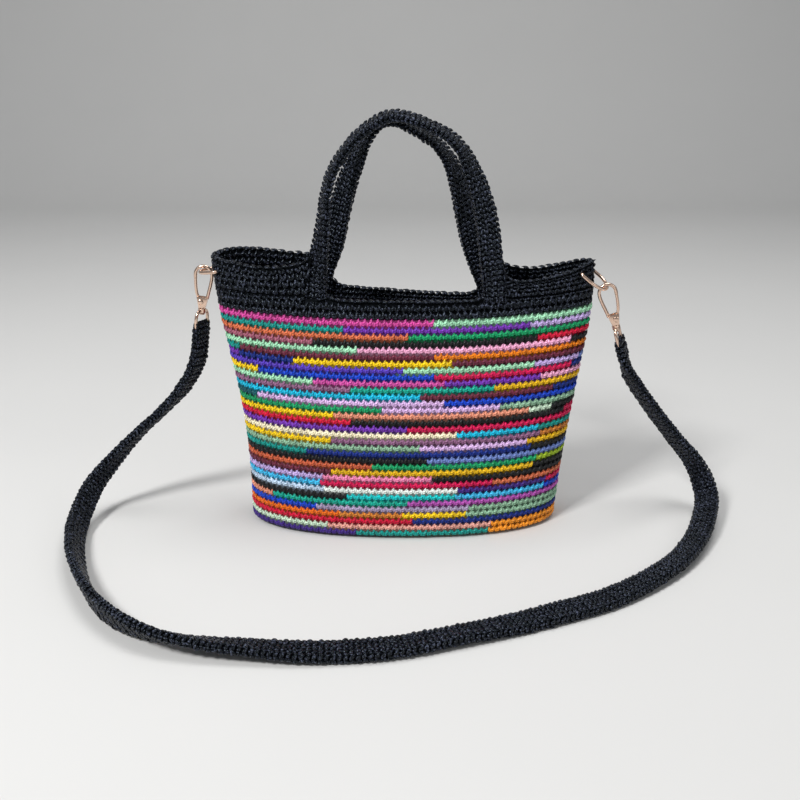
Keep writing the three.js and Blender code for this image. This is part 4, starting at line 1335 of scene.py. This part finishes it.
class BAG_OT_rings(Operator):
    """Bends the two D-rings"""

    bl_idname = "bag.rings"
    bl_label = "D-rings"

    def execute(self, context):
        corner, half = RING_CORNER, RING_HALF
        depth = RING_DEPTH - RING_STRAIGHT
        bar_line = [(0, v) for v in np.linspace(-half + corner, half - corner, BAR_POINTS)]
        turn = [TAU / 4 * k / CORNER_STEPS for k in range(1, CORNER_STEPS)]
        leg = [(corner * (1 - math.cos(t)), half - corner * (1 - math.sin(t))) for t in turn]
        leg += [(corner, half), (RING_STRAIGHT * RING_LEG_SHARE, half)]
        sweep = np.linspace(0, math.pi, RING_POINTS)
        bow = [(RING_STRAIGHT + depth * math.sin(t), half * math.cos(t)) for t in sweep]
        flat = bar_line + leg + bow + [(u, -v) for u, v in leg[::-1]]
        for name, side in SIDES.items():
            centre, bar, out, _ = ring_axes(side)
            points = [centre + out * u + bar * v for u, v in flat]
            ring = tube(points, RING_WIRE, RING_SIDES, closed=True)
            metal_piece(f"ring_{name}_metal", [ring], Matrix(), f"ring_{name}", f"ring_{name}")
        return {"FINISHED"}


def hook_frame_parts():
    """Bow, slotted plate and swivel post of a snap hook."""
    root, root_in, neck_in, leg, nose_in = 1.0, HOOK_WIRE * 0.55, HOOK_WIRE * 0.3, 3.0, 0.1
    bow = [(-PLATE_HALF_TOP + root_in, 0, -PLATE_TOP - root),
           (-PLATE_HALF_TOP + neck_in, 0, -PLATE_TOP + root),
           (-ARCH_RADIUS, 0, -ARCH_RADIUS - leg)]
    for t in np.linspace(math.pi, 0, ARCH_POINTS):
        bow.append((ARCH_RADIUS * math.cos(t), 0, -ARCH_RADIUS + ARCH_RADIUS * math.sin(t)))
    bow.append((ARCH_RADIUS - nose_in, 0, -NOSE_END))
    wire = tube(spline(bow, np.linspace(0, 1, BOW_POINTS)), HOOK_WIRE)

    cheek = (PLATE_THICK - SLOT_THICK) / 2
    cheek_bevel, spine_bevel = 0.3, 0.15
    shift = (SLOT_THICK + cheek) / 2
    back = [(-PLATE_HALF_TOP, -PLATE_TOP), (-PLATE_HALF_LOW, -PLATE_LOW), (PLATE_HALF_LOW, -PLATE_LOW)]
    outline = [*back, (PLATE_HALF_TOP, -PLATE_TOP)]
    cheeks = [plate(outline, cheek, side * shift, cheek_bevel) for side in (-1, 1)]
    slot_in = RIVET_SIDE - GATE_BOSS - FIT
    slot_low = -RIVET_DOWN - GATE_BOSS - FIT
    slot_share = (PLATE_LOW + slot_low) / (PLATE_LOW - PLATE_TOP)
    slot_half = PLATE_HALF_LOW + (PLATE_HALF_TOP - PLATE_HALF_LOW) * slot_share
    web = [*back, (slot_half, slot_low), (slot_in, slot_low), (slot_in, -PLATE_TOP)]
    spine = plate(web, SLOT_THICK + cheek, 0, spine_bevel)

    post_root, rim, low_rim, soft, low_soft = 0.6, 0.8, 0.4, 0.2, 0.5
    top, shoulder = -PLATE_LOW + post_root, -PLATE_LOW - COLLAR_LENGTH - 2 * FIT
    head = shoulder - POST_HEAD_THICK
    post = lathe([(0, top), (POST_RADIUS, top), (POST_RADIUS, shoulder),
                  (POST_HEAD_RADIUS - soft, shoulder), (POST_HEAD_RADIUS, head + rim),
                  (POST_HEAD_RADIUS, head + low_rim), (POST_HEAD_RADIUS - low_soft, head), (0, head)])
    return [wire, *cheeks, spine, post]


def gate_parts():
    """Sprung lever of a snap hook, with the boss that turns on the rivet."""
    tip_in, knee_in, knee_up, bulge, arm_end, swell, soft = 0.15, 0.1, 1.2, 0.35, 0.72, 0.15, 0.2
    tip = np.array([ARCH_RADIUS - tip_in, 0, -NOSE_END - FIT])
    knee = np.array([PLATE_HALF_TOP - knee_in, 0, -PLATE_TOP + knee_up])
    foot = np.array([RIVET_SIDE, 0, -RIVET_DOWN])
    middle = (tip + knee) / 2 + np.array([bulge, 0, 0])
    arm = spline([tip, middle, knee, knee + (foot - knee) * arm_end], np.linspace(0, 1, ARM_POINTS))
    half = GATE_THICK / 2
    boss = sleeve(RIVET_RADIUS + FIT * GATE_FIT, GATE_BOSS, -half, half, soft)
    return [tube(arm, half + swell), lathe(boss, axis="Y", at=tuple(foot))]


def rivet_parts():
    """Domed rivet through the plate."""
    rim, shoulder, crown = 0.25, 0.15, 0.05
    wide, narrow = RIVET_HEAD * 0.8, RIVET_HEAD * 0.45
    half = PLATE_THICK / 2 + FIT
    top = half + RIVET_HEAD_THICK
    upper = [(RIVET_RADIUS, half), (RIVET_HEAD, half), (RIVET_HEAD, half + rim),
             (wide, top - shoulder), (narrow, top), (0, top + crown)]
    lower = [(r, -h) for r, h in upper[::-1]]
    return [lathe(lower + upper, axis="Y", at=(RIVET_SIDE, 0, -RIVET_DOWN))]


def eye_parts():
    """Collar that turns on the post, with the wire loop that carries the strap."""
    soft, root, shoulder_in, shoulder_down, leg_down, bend, bend_in = 0.3, 0.8, 1.6, 1.4, 4.0, 1.8, 0.5
    high = -PLATE_LOW - FIT
    low = high - COLLAR_LENGTH
    collar = sleeve(POST_RADIUS + FIT, COLLAR_RADIUS, low, high, soft)
    middle, bar = (low + high) / 2, -EYE_BAR
    right = [(COLLAR_RADIUS - root, 0, middle), (EYE_HALF - shoulder_in, 0, middle - shoulder_down),
             (EYE_HALF, 0, middle - leg_down), (EYE_HALF, 0, bar + bend),
             (EYE_HALF - bend_in, 0, bar + bend_in), (EYE_HALF - bend, 0, bar)]
    left = [(-x, y, z) for x, y, z in right[::-1]]
    loop = spline([*right, (0, 0, bar), *left], np.linspace(0, 1, EYE_POINTS))
    return [lathe(collar), tube(loop, EYE_WIRE)]


HOOK_PARTS = {"hook_frame": hook_frame_parts, "hook_gate": gate_parts, "gate_rivet": rivet_parts,
              "swivel_eye": eye_parts}
HOOK_BODY = {"hook_frame": "hook_{}", "hook_gate": "gate_{}", "gate_rivet": "hook_{}", "swivel_eye": "bag"}


class BAG_OT_hooks(Operator):
    """Makes the two swivel snap hooks: frame, gate, rivet and eye"""

    bl_idname = "bag.hooks"
    bl_label = "Snap hooks"

    def execute(self, context):
        for side_name, side in SIDES.items():
            place = hook_place(side)
            for part, maker in HOOK_PARTS.items():
                turn = Matrix.Rotation(EYE_TURN, 4, "Z") if part == "swivel_eye" else Matrix()
                node = f"{part}_{side_name}"
                metal_piece(node + "_metal", maker(), place @ turn, HOOK_BODY[part].format(side_name), node)
        return {"FINISHED"}


# Stage

CAMERA_AT = (-0.0024, -0.620, 0.317)
CAMERA_DOWN = math.radians(20.1)
CAMERA_LENS, CAMERA_SENSOR, CAMERA_NEAR = 40.5, 36, 0.01
LAMP_AIM = Vector((0, 0, 0.12))
LAMPS = (
    ("key", (-0.9, -1.0, 1.5), 0.4, 29.0),
    ("fill", (1.3, -0.9, 1.0), 0.8, 2.8),
    ("top", (0.3, 0.1, 1.9), 0.9, 15.0),
)
SKY, SKY_STRENGTH = (0.92, 0.95, 1.0, 1), 0.27
PAPER_REACH, PAPER_BACK, PAPER_BEND, PAPER_TOP = 30.0, 1.6, 0.7, 2.6
PAPER_STEPS = 12
PAPER_GRAIN, PAPER_DARK, PAPER_ROUGH = 6, 0.97, 0.85


def floor_material(name):
    """Pale paper with a faint cloud of grain."""
    material, nodes, shader = material_with(name)
    grain = nodes.noise(nodes.add("ShaderNodeTexCoord").outputs["Object"], PAPER_GRAIN)
    tint = nodes.tint(grain, bpy.context.scene.bag_colours.floor, PAPER_DARK)
    nodes.fill(shader, {"Base Color": tint, "Roughness": PAPER_ROUGH})
    return material


def backdrop():
    """A paper sweep: flat under the bag, curved up behind it."""
    profile = [(-PAPER_REACH, 0.0), (PAPER_BACK, 0.0)]
    for t in np.linspace(0, TAU / 4, PAPER_STEPS + 1)[1:]:
        profile.append((PAPER_BACK + PAPER_BEND * math.sin(t), PAPER_BEND * (1 - math.cos(t))))
    profile.append((PAPER_BACK + PAPER_BEND, PAPER_TOP))
    verts = [(x, y, z) for y, z in profile for x in (-PAPER_REACH, PAPER_REACH)]
    faces = [(2 * i, 2 * i + 1, 2 * i + 3, 2 * i + 2) for i in range(len(profile) - 1)]
    mesh = bpy.data.meshes.new("backdrop")
    mesh.from_pydata(verts, [], faces)
    mesh.shade_smooth()
    mesh.materials.append(shared_material("stage paper", floor_material))
    return link(bpy.data.objects.new("backdrop", mesh))


class BAG_OT_stage(Operator):
    """Sets the camera, the soft lamps and the pale paper sweep"""

    bl_idname = "bag.stage"
    bl_label = "Stage"

    def execute(self, context):
        scene = context.scene
        scene.view_settings.view_transform = "Standard"
        camera = link(bpy.data.objects.new("camera", bpy.data.cameras.new("camera")))
        camera.location = CAMERA_AT
        camera.rotation_euler = (TAU / 4 - CAMERA_DOWN, 0, 0)
        camera.data.lens = CAMERA_LENS
        camera.data.sensor_width = CAMERA_SENSOR
        camera.data.clip_start = CAMERA_NEAR
        scene.camera = camera
        backdrop()
        for name, place, size, power in LAMPS:
            lamp = bpy.data.lights.new(name, "AREA")
            lamp.size, lamp.energy = size, power
            thing = link(bpy.data.objects.new(name, lamp))
            thing.location = place
            thing.rotation_euler = (LAMP_AIM - Vector(place)).to_track_quat("-Z", "Y").to_euler()
        world = scene.world or bpy.data.worlds.new("studio")
        scene.world = world
        world.use_nodes = True
        sky = world.node_tree.nodes["Background"]
        sky.inputs["Color"].default_value = SKY
        sky.inputs["Strength"].default_value = SKY_STRENGTH
        return {"FINISHED"}


class BAG_PT_panel(Panel):
    """Lists the bag's pieces and their sizes"""

    bl_label = "Crocheted bag"
    bl_idname = "BAG_PT_panel"
    bl_space_type = "VIEW_3D"
    bl_region_type = "UI"
    bl_category = "Bag"

    def draw(self, context):
        for operator in OPERATORS:
            self.layout.operator(operator.bl_idname)
        for group in (context.scene.bag_sizes, context.scene.bag_colours):
            column = self.layout.column()
            for name in group.__annotations__:
                column.prop(group, name)


OPERATORS = (BAG_OT_stage, BAG_OT_rings, BAG_OT_hooks, BAG_OT_strap, BAG_OT_body, BAG_OT_band, BAG_OT_handles)
CLASSES = (BagSizes, BagColours, *OPERATORS, BAG_PT_panel)


def register():
    for kind in CLASSES:
        bpy.utils.register_class(kind)
    bpy.types.Scene.bag_sizes = PointerProperty(type=BagSizes)
    bpy.types.Scene.bag_colours = PointerProperty(type=BagColours)


def unregister():
    del bpy.types.Scene.bag_colours
    del bpy.types.Scene.bag_sizes
    for kind in reversed(CLASSES):
        bpy.utils.unregister_class(kind)


def main():
    register()
    bpy.ops.bag.stage()
    bpy.ops.bag.rings()
    bpy.ops.bag.hooks()
    bpy.ops.bag.strap()
    bpy.ops.bag.body()
    bpy.ops.bag.band()
    bpy.ops.bag.handles()


if __name__ == "__main__":
    main()
